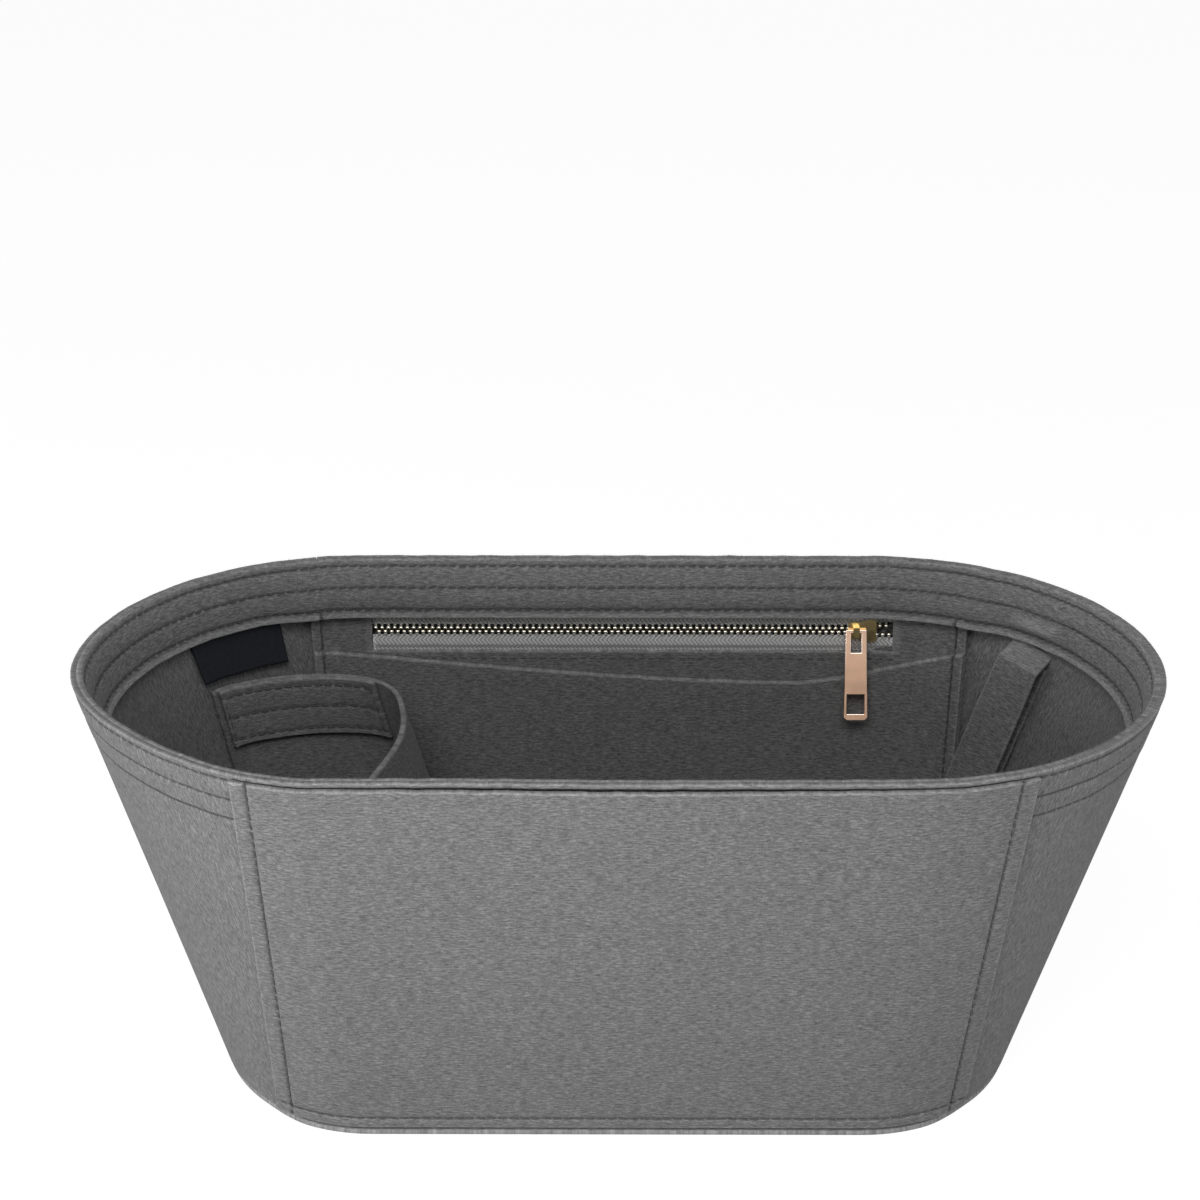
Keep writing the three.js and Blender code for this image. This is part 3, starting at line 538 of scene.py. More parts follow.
def sheet(name, face, inward, thickness, dip=0.0, back_dip=0.0, hole=None,
          radii=(CUT_RADIUS, CUT_RADIUS), open_sides=True, upright=False, rubbed=0.0):
    """Closed sheet from a grid of points on its outer face, with softly rounded cut edges.

    hole is (first column, last column, first row, last row) of an opening in the grid. Where
    open_sides is false the grid's first and last column are butted, not cut. upright turns the
    felt's fibres up the sheet. rubbed is how far the felt is painted as pale as a cut, as
    painted light on faces that catch the lamps, from 0 to 1. The edge mark is above 0 at pale cuts,
    which are partly paler cut felt and partly painted light, and below 0 in creases, which get painted
    shade."""
    columns, rows = face.shape[:2]
    dip, back_dip = [np.broadcast_to(depth, face.shape[:2]) for depth in (dip, back_dip)]
    across, up = lengths(face, 0), lengths(face, 1)
    edge = np.minimum(up, up[:, -1:] - up)
    if open_sides:
        edge = np.minimum.reduce([edge, across, across[-1:] - across])
    index = np.arange(columns * rows).reshape(columns, rows)
    keep = np.ones((columns - 1, rows - 1), bool)
    loops = [border(index)]
    if hole:
        c0, c1, r0, r1 = hole
        beside = np.maximum(np.maximum(across[c0] - across, across - across[c1]), 0)
        above = np.maximum(np.maximum(up[:, [r0]] - up, up - up[:, [r1]]), 0)
        edge = np.minimum(edge, np.hypot(beside, above))
        keep[c0:c1, r0:r1] = False
        loops.append(border(index[c0:c1 + 1, r0:r1 + 1])[::-1])
    front = face + inward * (rounding(edge, radii[0]) + dip)[..., None]
    back = face + inward * (thickness - rounding(edge, radii[1]) - back_dip)[..., None]
    quads = grid_quads(index)[keep]
    faces = [quads, quads[:, ::-1] + index.size]
    for loop in loops:
        following = np.roll(loop, -1)
        faces.append(np.stack([following, loop, loop + index.size, following + index.size], axis=-1))
    uv = np.stack([across - across[-1:] / 2, up], axis=-1).reshape(-1, 2)
    if upright:
        uv = uv[:, ::-1]
    # Pale mark: cut edges, partly paler cut felt and partly painted light, plus painted light where given
    rim = np.maximum(cut_share(edge), rubbed)
    # Painted shade: creases get a negative mark that darkens the felt
    creases = [np.clip(depth / VALLEY_DEPTH, 0, 1) ** 2 for depth in (dip, back_dip)]
    marks = np.concatenate([np.ravel(rim * (crease < 0.05) - crease) for crease in creases])
    vertices = np.concatenate([front.reshape(-1, 3), back.reshape(-1, 3)])
    obj = make_object(name, vertices, faces, np.tile(uv, (2, 1)), marks)
    obj["flat"] = flat_size((front + back) / 2, keep)
    return obj


def spread_lines(low, high, step, low_lines, high_lines):
    """Divides a span evenly, with extra lines at given distances from its two ends."""
    first, last = low + low_lines[-1], high - high_lines[-1]
    count = max(1, math.ceil((last - first) / step))
    even = np.linspace(first, last, count + 1)[1:-1]
    return np.concatenate([low + np.array(low_lines), even, high - np.array(high_lines)[::-1]])


def heights(bottom, top, rows=(), step=PANEL_STEP):
    """Heights of a panel's grid rows, closer at its cut edges and along its stitched rows."""
    lines = spread_lines(bottom, top, step, CUT_LINES, CUT_LINES)
    for row in rows:
        near = np.array(VALLEY_LINES) + row
        near = near[(near > bottom + CUT_LINES[-1]) & (near < top - CUT_LINES[-1])]
        lines = lines[(lines < near.min()) | (lines > near.max())]
        lines = np.sort(np.concatenate([lines, near]))
    return lines


def station_shares(knots, creases):
    """Grid columns of a panel as (span between knots, share of it), closer at side edges and creases."""
    middle = HEIGHT / 2
    last = len(knots) - 1

    def lines_at(index):
        if index in creases:
            return [line for line in VALLEY_LINES if line >= 0]
        return CUT_LINES if index in (0, last) else (0.0,)

    places = []
    for index in range(last):
        ends = [float(at_height(knot, middle)) for knot in knots[index:index + 2]]
        span = float(lengths(wall_point(np.linspace(*ends, 60), middle, 0.0), 0)[-1])
        shares = spread_lines(0.0, span, PANEL_STEP, lines_at(index), lines_at(index + 1)) / span
        places += [(index, share) for share in (shares if index == 0 else shares[1:])]
    return places


def stations(knots, z, creases=()):
    """Grid of a panel's turns and heights, from heights that all its columns share or that each has.

    knots are functions of height, or numbers; creases are the indices of knots that are stitched."""
    places = station_shares(knots, creases)
    z = np.broadcast_to(z, (len(places), z.shape[-1]))
    turn = np.empty(z.shape)
    for column, (index, share) in enumerate(places):
        low, high = [at_height(knot, z[column]) for knot in knots[index:index + 2]]
        turn[column] = mix(low, high, share)
    return turn, z


def wall_sheet(name, turn, z, outer, thickness=FELT, **shape):
    """Sheet bent to the body, from its grid of turns and heights."""
    face = wall_point(turn, z, outer)
    inward = (wall_point(turn, z, outer - thickness) - face) / thickness
    return sheet(name, face, inward, thickness, **shape)


# Stitches

def stitches(points, outward):
    """Vertices and face groups of a row of stitches along a line of points on a felt face."""
    along = lengths(points, 0)
    count = max(1, int(along[-1] / STITCH_PITCH))
    start = (along[-1] - count * STITCH_PITCH) / 2
    profile = np.array(STITCH_RISE) * THREAD_RADIUS
    places = np.array(STITCH_PLACES) * STITCH_REACH + 0.5
    at = start + (np.arange(count)[:, None] + places[None, :]) * STITCH_PITCH
    centre = trace(points, along, at)
    normal = unit(trace(outward, along, at))
    side = unit(np.cross(np.gradient(centre, axis=1), normal))
    centre = centre + normal * profile[None, :, None]
    angle = np.linspace(0, 2 * math.pi, THREAD_SIDES, endpoint=False)
    ring = np.cos(angle)[:, None] * normal[:, :, None] + np.sin(angle)[:, None] * side[:, :, None]
    vertices = (centre[:, :, None] + THREAD_RADIUS * ring).reshape(-1, 3)
    index = np.arange(len(vertices)).reshape(count, len(profile), THREAD_SIDES)
    turned = np.roll(index, -1, axis=2)
    sides = np.stack([index[:, :-1], index[:, 1:], turned[:, 1:], turned[:, :-1]], axis=-1)
    return vertices, [sides.reshape(-1, 4), index[:, 0, :], index[:, -1, ::-1]]


def stitch_object(name, rows):
    """One object of several rows of stitches. Each row is (points, outward directions)."""
    dress(make_object(name, *joined(stitches(*row) for row in rows)), "felt", thread)


def wall_row(turn, z, offset, inside):
    """Line on a face of the body, with its outward directions.

    The offset is a number or a function of turn and height."""
    turn, z = np.broadcast_arrays(turn, z)
    at = offset(turn, z) if callable(offset) else np.full(turn.shape, offset)
    points = wall_point(turn, z, at)
    outward = wall_point(turn, z, at + PROBE) - points
    return points, (-outward if inside else outward)


def level_row(start, end, z, offset, inside, count=ROW_POINTS):
    """Stitches at one height between two turns."""
    return wall_row(np.linspace(start, end, count), z, offset, inside)


def rising_row(edge, low, high, offset, inside):
    """Stitches up a panel's side seam."""
    z = np.linspace(low, high, SEAM_POINTS)
    return wall_row(edge(z), z, offset, inside)


# Loose fibres along cut edges

def fibres_along(rng, points, outward):
    """Vertices and face group of tapering fibres along a line, which lean about its outward directions."""
    along = lengths(points, 0)
    count = int(along[-1] * FUZZ_PER_METRE)
    at = np.sort(rng.uniform(0, along[-1], count))
    root = trace(points, along, at)
    lean = unit(unit(trace(outward, along, at)) + rng.normal(0, FUZZ_LEAN, (count, 3)))
    side = unit(np.cross(lean, rng.normal(0, 1, (count, 3))))
    third = np.cross(lean, side)
    reach = FUZZ_LENGTH * rng.uniform(FUZZ_SHORTEST, 1.0, count) ** FUZZ_LENGTH_POWER
    tip = root + lean * reach[:, None]
    root = root - lean * FUZZ_ROOT
    angle = np.arange(3) * 2 * math.pi / 3
    ring = np.cos(angle)[:, None] * side[:, None] + np.sin(angle)[:, None] * third[:, None]
    corners = root[:, None] + FUZZ_RADIUS * ring
    vertices = np.concatenate([corners, tip[:, None]], axis=1).reshape(-1, 3)
    pattern = np.array([(0, 1, 3), (1, 2, 3), (2, 0, 3), (2, 1, 0)])
    return vertices, [(np.arange(count)[:, None, None] * 4 + pattern).reshape(-1, 3)]


def fuzz_object(name, edges, seed):
    """One object of the loose fibres on several edges. Each edge is (points, outward directions)."""
    rng = np.random.default_rng(seed)
    dress(make_object(name, *joined(fibres_along(rng, *edge) for edge in edges)), "felt", fuzz)


# Materials

class Tree:
    """Node tree whose nodes are added and linked in one call. An input is a value or a socket to link."""

    def __init__(self, tree):
        self.nodes = tree.nodes
        self.links = tree.links

    def feed(self, socket, value):
        if isinstance(value, bpy.types.NodeSocket):
            self.links.new(value, socket)
        else:
            socket.default_value = value

    def put(self, node, **inputs):
        """Feeds a node's inputs by name, with _ for a space."""
        for key, value in inputs.items():
            self.feed(node.inputs[key.replace("_", " ")], value)
        return node

    def add(self, kind, **inputs):
        return self.put(self.nodes.new("ShaderNode" + kind), **inputs)

    def calc(self, operation, *values):
        node = self.add("Math")
        node.operation = operation
        for socket, value in zip(node.inputs, values):
            self.feed(socket, value)
        return node.outputs[0]

    def wave(self, value, length):
        return self.calc("SINE", self.calc("MULTIPLY", value, 2 * math.pi / length))

    def weighted(self, first, *parts):
        """Sum of (value, weight) pairs."""
        total = self.calc("MULTIPLY", *first)
        for part in parts:
            total = self.calc("ADD", total, self.calc("MULTIPLY", *part))
        return total

    def ramp(self, factor, *stops):
        """Colours between stops of (place, colour). A single number is a grey."""
        node = self.add("ValToRGB", Fac=factor)
        elements = node.color_ramp.elements
        for index, (place, colour) in enumerate(stops):
            element = elements[index] if index < 2 else elements.new(place)
            element.position = place
            element.color = (*(colour if isinstance(colour, tuple) else (colour,) * 3), 1.0)
        return node.outputs["Color"]

    def ranged(self, value, **ends):
        return self.add("MapRange", Value=value, **ends).outputs["Result"]

    def blend(self, kind, share, first, second):
        node = self.add("Mix")
        node.data_type = "RGBA"
        node.blend_type = kind
        return self.put(node, Factor=share, A=first, B=second).outputs["Result"]

    def uv(self):
        """Lengths across and up a sheet."""
        node = self.add("UVMap")
        node.uv_map = "felt"
        return node.outputs["UV"]

    def split(self, vector):
        node = self.add("SeparateXYZ", Vector=vector)
        return node.outputs["X"], node.outputs["Y"]

    def streaks(self, vector, scale, rotation=0.0, detail=3.0):
        """Noise stretched along the felt's fibres."""
        place = self.add("Mapping", Vector=vector, Scale=(*scale, 1.0), Rotation=(0.0, 0.0, rotation))
        noise = self.add("TexNoise", Vector=place.outputs["Vector"], Scale=1.0, Detail=detail, Roughness=0.6)
        return noise.outputs["Fac"]

    def noise(self, scale, detail):
        place = self.add("TexCoord").outputs["Object"]
        return self.add("TexNoise", Vector=place, Scale=scale, Detail=detail).outputs["Fac"]

    def bump(self, shader, height, strength, distance):
        node = self.add("Bump", Height=height, Strength=strength, Distance=distance)
        self.put(shader, Normal=node.outputs["Normal"])

    def seen(self, *rays):
        """1 for the given kinds of ray, otherwise 0."""
        path = self.add("LightPath")
        first, *others = [path.outputs[f"Is {ray} Ray"] for ray in rays]
        for other in others:
            first = self.calc("MAXIMUM", first, other)
        return first


def new_material(name, **inputs):
    """Material, its tree and its shader with some inputs set."""
    material = bpy.data.materials.new(name)
    material.use_nodes = True
    tree = Tree(material.node_tree)
    return material, tree, tree.put(tree.nodes["Principled BSDF"], **inputs)


def felt_material():
    """Pressed grey felt: short fibres mostly along the panel, cloudy patches, pale cuts that are partly
    paler cut felt and partly painted light, and creases darkened with painted shade.
    """
    material, tree, shader = new_material(
        "felt", Roughness=0.95, Specular_IOR_Level=0.1, Sheen_Weight=0.1, Sheen_Roughness=0.6)
    place = tree.uv()
    fibres = tree.streaks(place, (320.0, 1600.0))
    crossing = tree.streaks(place, (650.0, 1300.0), rotation=0.6)
    grain = tree.streaks(place, (1900.0, 2400.0), detail=2.0)
    tufts = tree.streaks(place, (150.0, 260.0), detail=2.0)
    clouds = tree.streaks(place, (28.0, 45.0), detail=4.0)
    fleece = tree.weighted((fibres, 0.42), (crossing, 0.25), (grain, 0.23), (tufts, 0.1))
    tone = tree.ramp(fleece, (0.38, 0.09), (0.5, 0.19), (0.62, 0.33))
    tone = tree.blend("MULTIPLY", 1.0, tone, tree.ramp(clouds, (0.3, 0.92), (0.7, 1.0)))
    mark = tree.add("Attribute")
    mark.attribute_name = "edge"
    edge = mark.outputs["Fac"]
    # Painted shade: creases are darkened under each stitch and almost plain between stitches
    wave = tree.wave(tree.calc("ADD", *tree.split(place)), STITCH_PITCH)
    dashes = tree.ranged(wave, From_Min=-0.9, From_Max=0.2, To_Min=0.12, To_Max=1.0)
    crease = tree.calc("MULTIPLY", tree.calc("MINIMUM", edge, 0.0), dashes)
    shade = tree.ramp(tree.calc("ADD", crease, 1.0), (0.15, 0.36), (0.95, 1.0))
    tone = tree.blend("MULTIPLY", 1.0, tone, shade)
    # Paling of the felt: cut edges, partly paler cut felt and partly painted light, and painted light on
    # faces that catch the lamps
    cut_and_painted_light = tree.calc("MULTIPLY", tree.calc("MAXIMUM", edge, 0.0), 0.6)
    pale = tree.ramp(fleece, (0.38, 0.2), (0.5, 0.36), (0.62, 0.56))
    tree.put(shader, Base_Color=tree.blend("MIX", cut_and_painted_light, tone, pale))
    tree.bump(shader, fleece, 0.7, 0.0004)
    return material


def fibre_material(name, roughness, scale, dark, pale):
    """Loose fibres or sewing thread, in mixed greys."""
    material, tree, shader = new_material(name, Roughness=roughness)
    tree.put(shader, Base_Color=tree.ramp(tree.noise(scale, 2.0), (0.35, dark), (0.65, pale)))
    return material


def tape_material():
    """Zipper tape: a fine herringbone weave."""
    material, tree, shader = new_material("zipper_tape", Roughness=0.8)
    across, up = tree.split(tree.uv())
    slant = tree.calc("ADD", across, tree.calc("PINGPONG", up, TAPE_FOLD))
    rib = tree.calc("MULTIPLY_ADD", tree.wave(slant, TAPE_RIB), 0.5, 0.5)
    tree.put(shader, Base_Color=tree.ramp(rib, (0.2, 0.46), (0.75, 0.8)))
    tree.bump(shader, rib, 0.4, 0.0003)
    return material


def label_material():
    """Bare satin label, near black with a cool cast and a fine weave."""
    material, tree, shader = new_material("label_weave", Roughness=0.7, Specular_IOR_Level=0.2)
    place = tree.uv()
    warp, weft = [tree.wave(part, LABEL_THREAD) for part in tree.split(place)]
    weave = tree.calc("MULTIPLY_ADD", tree.calc("MULTIPLY", warp, weft), 0.5, 0.5)
    level = tree.calc("MULTIPLY", weave, tree.streaks(place, (600.0, 600.0)))
    colour = tree.ramp(level, (0.0, (0.004, 0.0045, 0.006)), (0.6, (0.017, 0.02, 0.027)))
    tree.put(shader, Base_Color=colour)
    tree.bump(shader, weave, 0.4, 0.0001)
    return material


def metal_material(name, colour, roughness, metallic):
    """Plated metal with faint handling marks."""
    material, tree, shader = new_material(name, Metallic=metallic, Coat_Weight=0.6, Coat_Roughness=0.12)
    noise = tree.noise(160.0, 3.0)
    darker = tuple(0.9 * part for part in colour)
    marks = tree.ranged(noise, To_Min=roughness * 0.7, To_Max=roughness * 1.4)
    tree.put(shader, Base_Color=tree.ramp(noise, (0.3, darker), (0.65, colour)), Roughness=marks)
    return material


felt = felt_material()
fuzz = fibre_material("fuzz", 0.9, 900.0, 0.15, 0.45)
thread = fibre_material("thread", 0.7, 2500.0, 0.04, 0.1)
tape_weave = tape_material()
label_weave = label_material()
tooth_metal = metal_material("zipper_teeth", (1.0, 0.95, 0.8), 0.2, 1.0)
# Painted shade: the legs are the teeth's metal painted darker grey, as if in shade
leg_metal_painted_shade = metal_material("zipper_tooth_legs", (0.46, 0.45, 0.43), 0.4, 0.3)
gold = metal_material("gold_metal", (1.0, 0.74, 0.25), 0.42, 0.8)
slider_gold = metal_material("slider_gold", (1.0, 0.78, 0.36), 0.27, 1.0)
# Painted highlight: the edge metals are paler than the faces' metals, besides being smoother
gold_edge_painted_highlight = metal_material("gold_metal_edges", (1.0, 0.86, 0.52), 0.12, 1.0)
rose = metal_material("rose_metal", (1.0, 0.64, 0.44), 0.45, 0.7)
rose_edge_painted_highlight = metal_material("rose_metal_edges", (1.0, 0.84, 0.72), 0.12, 1.0)

# Frame nodes kept as they are, with their metals on faces and edges, and the width of their bevels. The edge
# metals are smoother and also paler, a painted highlight.
METALS = (
    ("slider_body", slider_gold, gold_edge_painted_highlight, 0.0008),
    ("pull_tab", rose, rose_edge_painted_highlight, 0.0005),
    ("snap_hook", gold, gold_edge_painted_highlight, 0.0005),
    ("gate_pin", gold, gold_edge_painted_highlight, 0.0001),
    ("hook_gate", gold, gold_edge_painted_highlight, 0.0003),
)


def sew(obj, node, *rests_on, held="stretched"):
    """Makes a sheet the felt of a CAD node."""
    dress(obj, "felt", felt, node)
    declare(obj)


# Felt body

def build_base():
    turn = np.linspace(-1.0, WHOLE_TURN - 1.0, BASE_COLUMNS)
    outline = wall_point(turn, 0.0, 0.0)
    lip = BASE_LIP * (1 - smoothstep(np.abs(outline[:, 0]), *BASE_LIP_FADE))
    outline = wall_point(turn, 0.0, lip)
    spine = outline.copy()
    spine[:, 0] = np.clip(spine[:, 0], -BASE_STRAIGHT / 2, BASE_STRAIGHT / 2)
    spine[:, 1] = 0.0
    insets = np.array([*CUT_LINES, *BASE_INSETS])
    reach = np.linalg.norm(outline - spine, axis=1)[:, None, None]
    flat = mix(outline[:, None], spine[:, None], np.minimum(insets[None, :, None] / reach, 1.0))
    flat = np.concatenate([flat, spine[:, None]], axis=1)
    edge = np.concatenate([insets, [BASE_MIDDLE]])
    low, high = flat.copy(), flat.copy()
    low[..., 2] = rounding(edge, CUT_RADIUS)
    high[..., 2] = FELT - rounding(edge, CUT_RADIUS)
    columns, rows = flat.shape[:2]
    index = np.arange(columns * rows).reshape(columns, rows)
    index[-1] = index[0]
    quads = grid_quads(index).reshape(-1, 4)
    ahead, behind = index[1:, 0], index[:-1, 0]
    side = np.stack([ahead + index.size, behind + index.size, behind, ahead], axis=-1)
    vertices = np.concatenate([low.reshape(-1, 3), high.reshape(-1, 3)])
    faces = [quads[:, ::-1], quads + index.size, side]
    obj = make_object("base_felt", vertices, faces, vertices[:, :2], np.tile(cut_share(edge), 2 * columns))
    merge_close(obj)
    obj["flat"] = [BASE_LENGTH, BASE_DEPTH, BASE_FILL * BASE_LENGTH * BASE_DEPTH]
    sew(obj, "base_panel", "front_wall", held="laid")


def slider_groove(turn, z):
    """Hollow that the zipper's slider presses into the back wall along its travel."""
    x = wall_point(turn, z, 0.0)[..., 0]
    left, right = SLIDER_X - ZIP_TRAVEL - SLIDER_LENGTH, SLIDER_X + SLIDER_LENGTH
    along = smoothstep(x, left - PANEL_STEP, left) * (1 - smoothstep(x, right, right + PANEL_STEP))
    return GROOVE_DEPTH * along * (np.abs(z - CHAIN_Z) < GROOVE_REACH * GROOVE_HALF)


def build_walls():
    half = LAP_GAP / 2

    def seam(side, size, beyond, turn=0.0):
        return panel_edge(side, size, POCKET_SEAM_INSET - beyond, turn)

    walls = {
        "front_wall": [seam(-1, FRONT_POCKET, -half), -1, 1, seam(1, FRONT_POCKET, -half)],
        "right_end_wall": [seam(1, FRONT_POCKET, half), 2, seam(1, BACK_POCKET, half)],
        "back_wall": [seam(1, BACK_POCKET, -half), 3, 5, seam(-1, BACK_POCKET, -half)],
        "left_end_wall": [seam(-1, BACK_POCKET, half), 6, seam(-1, FRONT_POCKET, half, WHOLE_TURN)],
    }
    for node, knots in walls.items():
        z = heights(FLOOR, HEIGHT, RIM_ROWS)
        is_back = node == "back_wall"
        if is_back:
            z = np.unique(np.concatenate([z, CHAIN_Z + GROOVE_HALF * np.array(GROOVE_LINES)]))
        turn, z = stations(knots, z)
        dip = row_dip(z, RIM_ROWS) - WALL_PUFF * strip_puff(z, RIM_ROWS)
        groove = slider_groove(turn, z) if is_back else 0.0
        obj = wall_sheet(node.replace("wall", "felt"), turn, z, np.zeros(turn.shape),
                         dip=dip, back_dip=groove, radii=(RIM_RADIUS, BUTTED),
                         open_sides=False, upright="end" in node)
        sew(obj, node, "base_panel")


def strap_bump(turn, z):
    """Swelling of the band over the sewn end of the key strap, from 0 to 1."""
    drop = np.clip((RIM_ROWS[1] - z) / (RIM_ROWS[1] - RIM_ROWS[2]), 0, 1)
    rise = smoothstep(drop, 0.0, 0.5) * (1 - smoothstep(drop, 0.5, 1.0))
    return rise * np.exp(-((turn - STRAP_TURN) / STRAP_BUMP_TURN) ** 4)


def closing(z, top):
    """How far a band has closed on its wall below a rim, from 0 to 1."""
    return smoothstep(z, *[top - drop for drop in CLOSE_DROPS])


def band_outer(turn, z):
    """Offset of the band's face towards the wall: close at the rim, swollen between rows, loose below."""
    close = LAP_GAP * closing(z, HEIGHT)
    kick = BAND_KICK * np.clip((RIM_ROWS[-1] - z) / (RIM_ROWS[-1] - BAND_HEM), 0, 1)
    puff = BAND_PUFF * strip_puff(z, RIM_ROWS) + kick + STRAP_BUMP * strap_bump(turn, z)
    return close - LAYER - LAYER * over_zip_panel(turn, z) - puff


def band_crease(turn, z):
    """Depth of the band's creases: its three rows, and the zip panel's seams below the lowest."""
    return np.maximum(row_dip(z, RIM_ROWS), seam_dip(turn, z, ZIP_SEAMS) * (z < RIM_ROWS[-1]))


def band_face(turn, z):
    """Offset of the band's face towards the inside of the body, in its creases."""
    return band_outer(turn, z) - FELT + VALLEY_DEPTH


def build_rim_band():
    half = BUTTED / 2
    right, left = back_turn(BAND_JOINT_RIGHT_X - half), back_turn(BAND_JOINT_LEFT_X + half)
    past_right = back_turn(BAND_JOINT_RIGHT_X + half)
    before_left = back_turn(BAND_JOINT_LEFT_X - half, -WHOLE_TURN)
    bands = {
        "rim_band_back": [right, 3, 5, ZIP_SEAMS[0], left],
        "rim_band_front": [before_left, -2, -1, 1, 2, ZIP_SEAMS[1], past_right],
    }
    for node, knots in bands.items():
        z = heights(BAND_HEM, HEIGHT, RIM_ROWS, BAND_STEP)
        turn, z = stations(knots, z, [len(knots) - 2])
        # Painted light: the hem and the swelling over the strap are painted pale where they catch the light
        # from above
        rubbed = np.maximum(HEM_PAINTED_LIGHT * (z < RIM_ROWS[-1]), BUMP_PAINTED_LIGHT * strap_bump(turn, z))
        obj = wall_sheet(node + "_felt", turn, z, band_outer(turn, z), back_dip=band_crease(turn, z),
                         radii=(BUTTED, RIM_RADIUS), open_sides=False, rubbed=rubbed)
        sew(obj, node, "front_wall", "back_wall")


def pocket_outer(size):
    """Offset of an outer pocket's face: it eases off the wall towards the middle of its mouth."""
    left, right = panel_edges(size)

    def outer(turn, z):
        rise = (z - POCKET_HEM) / (POCKET_MOUTH - POCKET_HEM)
        across = (turn - left(z)) / (right(z) - left(z))
        return LAYER + POCKET_EASE * rise * (1 - (2 * across - 1) ** 2)

    return outer


def build_outer_pocket(node, size):
    left, right = panel_edges(size)
    seams = panel_edges(size, POCKET_SEAM_INSET)
    knots = [left, seams[0], -1, 1, seams[1], right]
    if size["on_back"]:
        knots = [right, seams[1], 3, 5, seams[0], left]
    z = heights(POCKET_HEM, POCKET_MOUTH, [POCKET_BOTTOM_ROW])
    turn, z = stations(knots, z, SEAM_KNOTS)
    outer = pocket_outer(size)
    # Painted light: the mouth's up-facing cut edge is painted pale
    obj = wall_sheet(node.replace("panel", "felt"), turn, z, outer(turn, z),
                     dip=seam_dip(turn, z, seams) + valley(z - POCKET_BOTTOM_ROW),
                     rubbed=POCKET_MOUTH - z < MOUTH_EDGE)
    sew(obj, node, "back_wall" if size["on_back"] else "front_wall")

    def crease(turn, z):
        return outer(turn, z) - VALLEY_DEPTH

    rows = [rising_row(seam, POCKET_BOTTOM_ROW, POCKET_MOUTH, crease, False) for seam in seams]
    ends = [float(seam(POCKET_BOTTOM_ROW)) for seam in seams]
    rows.append(level_row(*ends, POCKET_BOTTOM_ROW, crease, False))
    stitch_object(node.replace("panel", "stitches"), rows)


def build_rim_stitches():
    inside, outside = [], []
    for row in RIM_ROWS:
        left, right = [float(turn_at(x, row, True)) for x in (BAND_JOINT_LEFT_X, BAND_JOINT_RIGHT_X)]
        inside.append(level_row(right, left, row, band_face, True, LONG_ROW_POINTS))
        inside.append(level_row(left - WHOLE_TURN, right, row, band_face, True, 2 * LONG_ROW_POINTS))
        front = [float(edge(row)) for edge in panel_edges(FRONT_POCKET)]
        back = [float(edge(row)) for edge in panel_edges(BACK_POCKET)]
        for start, end in ((front[1], back[1]), (back[0], front[0] + WHOLE_TURN)):
            outside.append(level_row(start, end, row, -VALLEY_DEPTH, False, LONG_ROW_POINTS))
    stitch_object("rim_stitches_inside", inside)
    stitch_object("rim_stitches_outside", outside)


def ring_edge(z, offset, lean, turns=(0.0, WHOLE_TURN)):
    """Edge line round the body, with its outward directions: lean is (away from the body, up)."""
    points, away = level_row(*turns, z, offset, False, RIM_POINTS)
    return points, lean[0] * away / PROBE + lean[1] * UP


def build_fuzz():
    rim = [
        ring_edge(HEIGHT - FUZZ_DROP, -FUZZ_IN, (0.7, 0.7)),
        ring_edge(HEIGHT - FUZZ_JOINT_DROP, -FELT, (0.0, 1.0)),
        ring_edge(HEIGHT - FUZZ_DROP, FUZZ_IN - LAYER - FELT, (-0.7, 0.7)),
        ring_edge(BAND_HEM + FUZZ_DROP, lambda turn, z: band_outer(turn, z) - FELT + FUZZ_IN, (-0.8, -0.5)),
    ]
    fuzz_object("rim_fuzz", rim, 1)
    pockets = []
    for size in (FRONT_POCKET, BACK_POCKET):
        ends = [float(edge(POCKET_MOUTH)) for edge in panel_edges(size)]
        pockets.append(ring_edge(POCKET_MOUTH - FUZZ_DROP, pocket_outer(size), (0.6, 0.8), ends))
    fuzz_object("pocket_fuzz", pockets, 2)
    place, aside = holder_line(np.linspace(0.01, 0.99, 600), HOLDER_TOP - FUZZ_DROP)
    holder = [(place + aside * part * FELT / 2.4, UP + part * aside) for part in (-1, 1)]
    fuzz_object("holder_fuzz", holder, 3)


# Inside pockets

def slip_mouth(x):
    """Height of the slip pocket's mouth, lowest right of the middle and rounded there."""
    edge = ZIP_PANEL["shifts"][1] + np.sign(x - SLIP_LOW_X) * ZIP_PANEL["widths"][1] / 2
    share = np.minimum(np.abs((x - SLIP_LOW_X) / (edge - SLIP_LOW_X)), 1.0)
    corner = np.where(x < SLIP_LOW_X, SLIP_LEFT_DROP, SLIP_RIGHT_DROP)
    low, high = SLIP_LOW_ROUND ** SLIP_MOUTH_POWER, math.hypot(1, SLIP_LOW_ROUND) ** SLIP_MOUTH_POWER
    lift = (np.hypot(share, SLIP_LOW_ROUND) ** SLIP_MOUTH_POWER - low) / (high - low)
    return BAND_BOTTOM - mix(SLIP_LOW_DROP, corner, lift)


def inner_knots(right, left):
    return [ZIP_EDGES[1], ZIP_SEAMS[1], right, left, ZIP_SEAMS[0], ZIP_EDGES[0]]


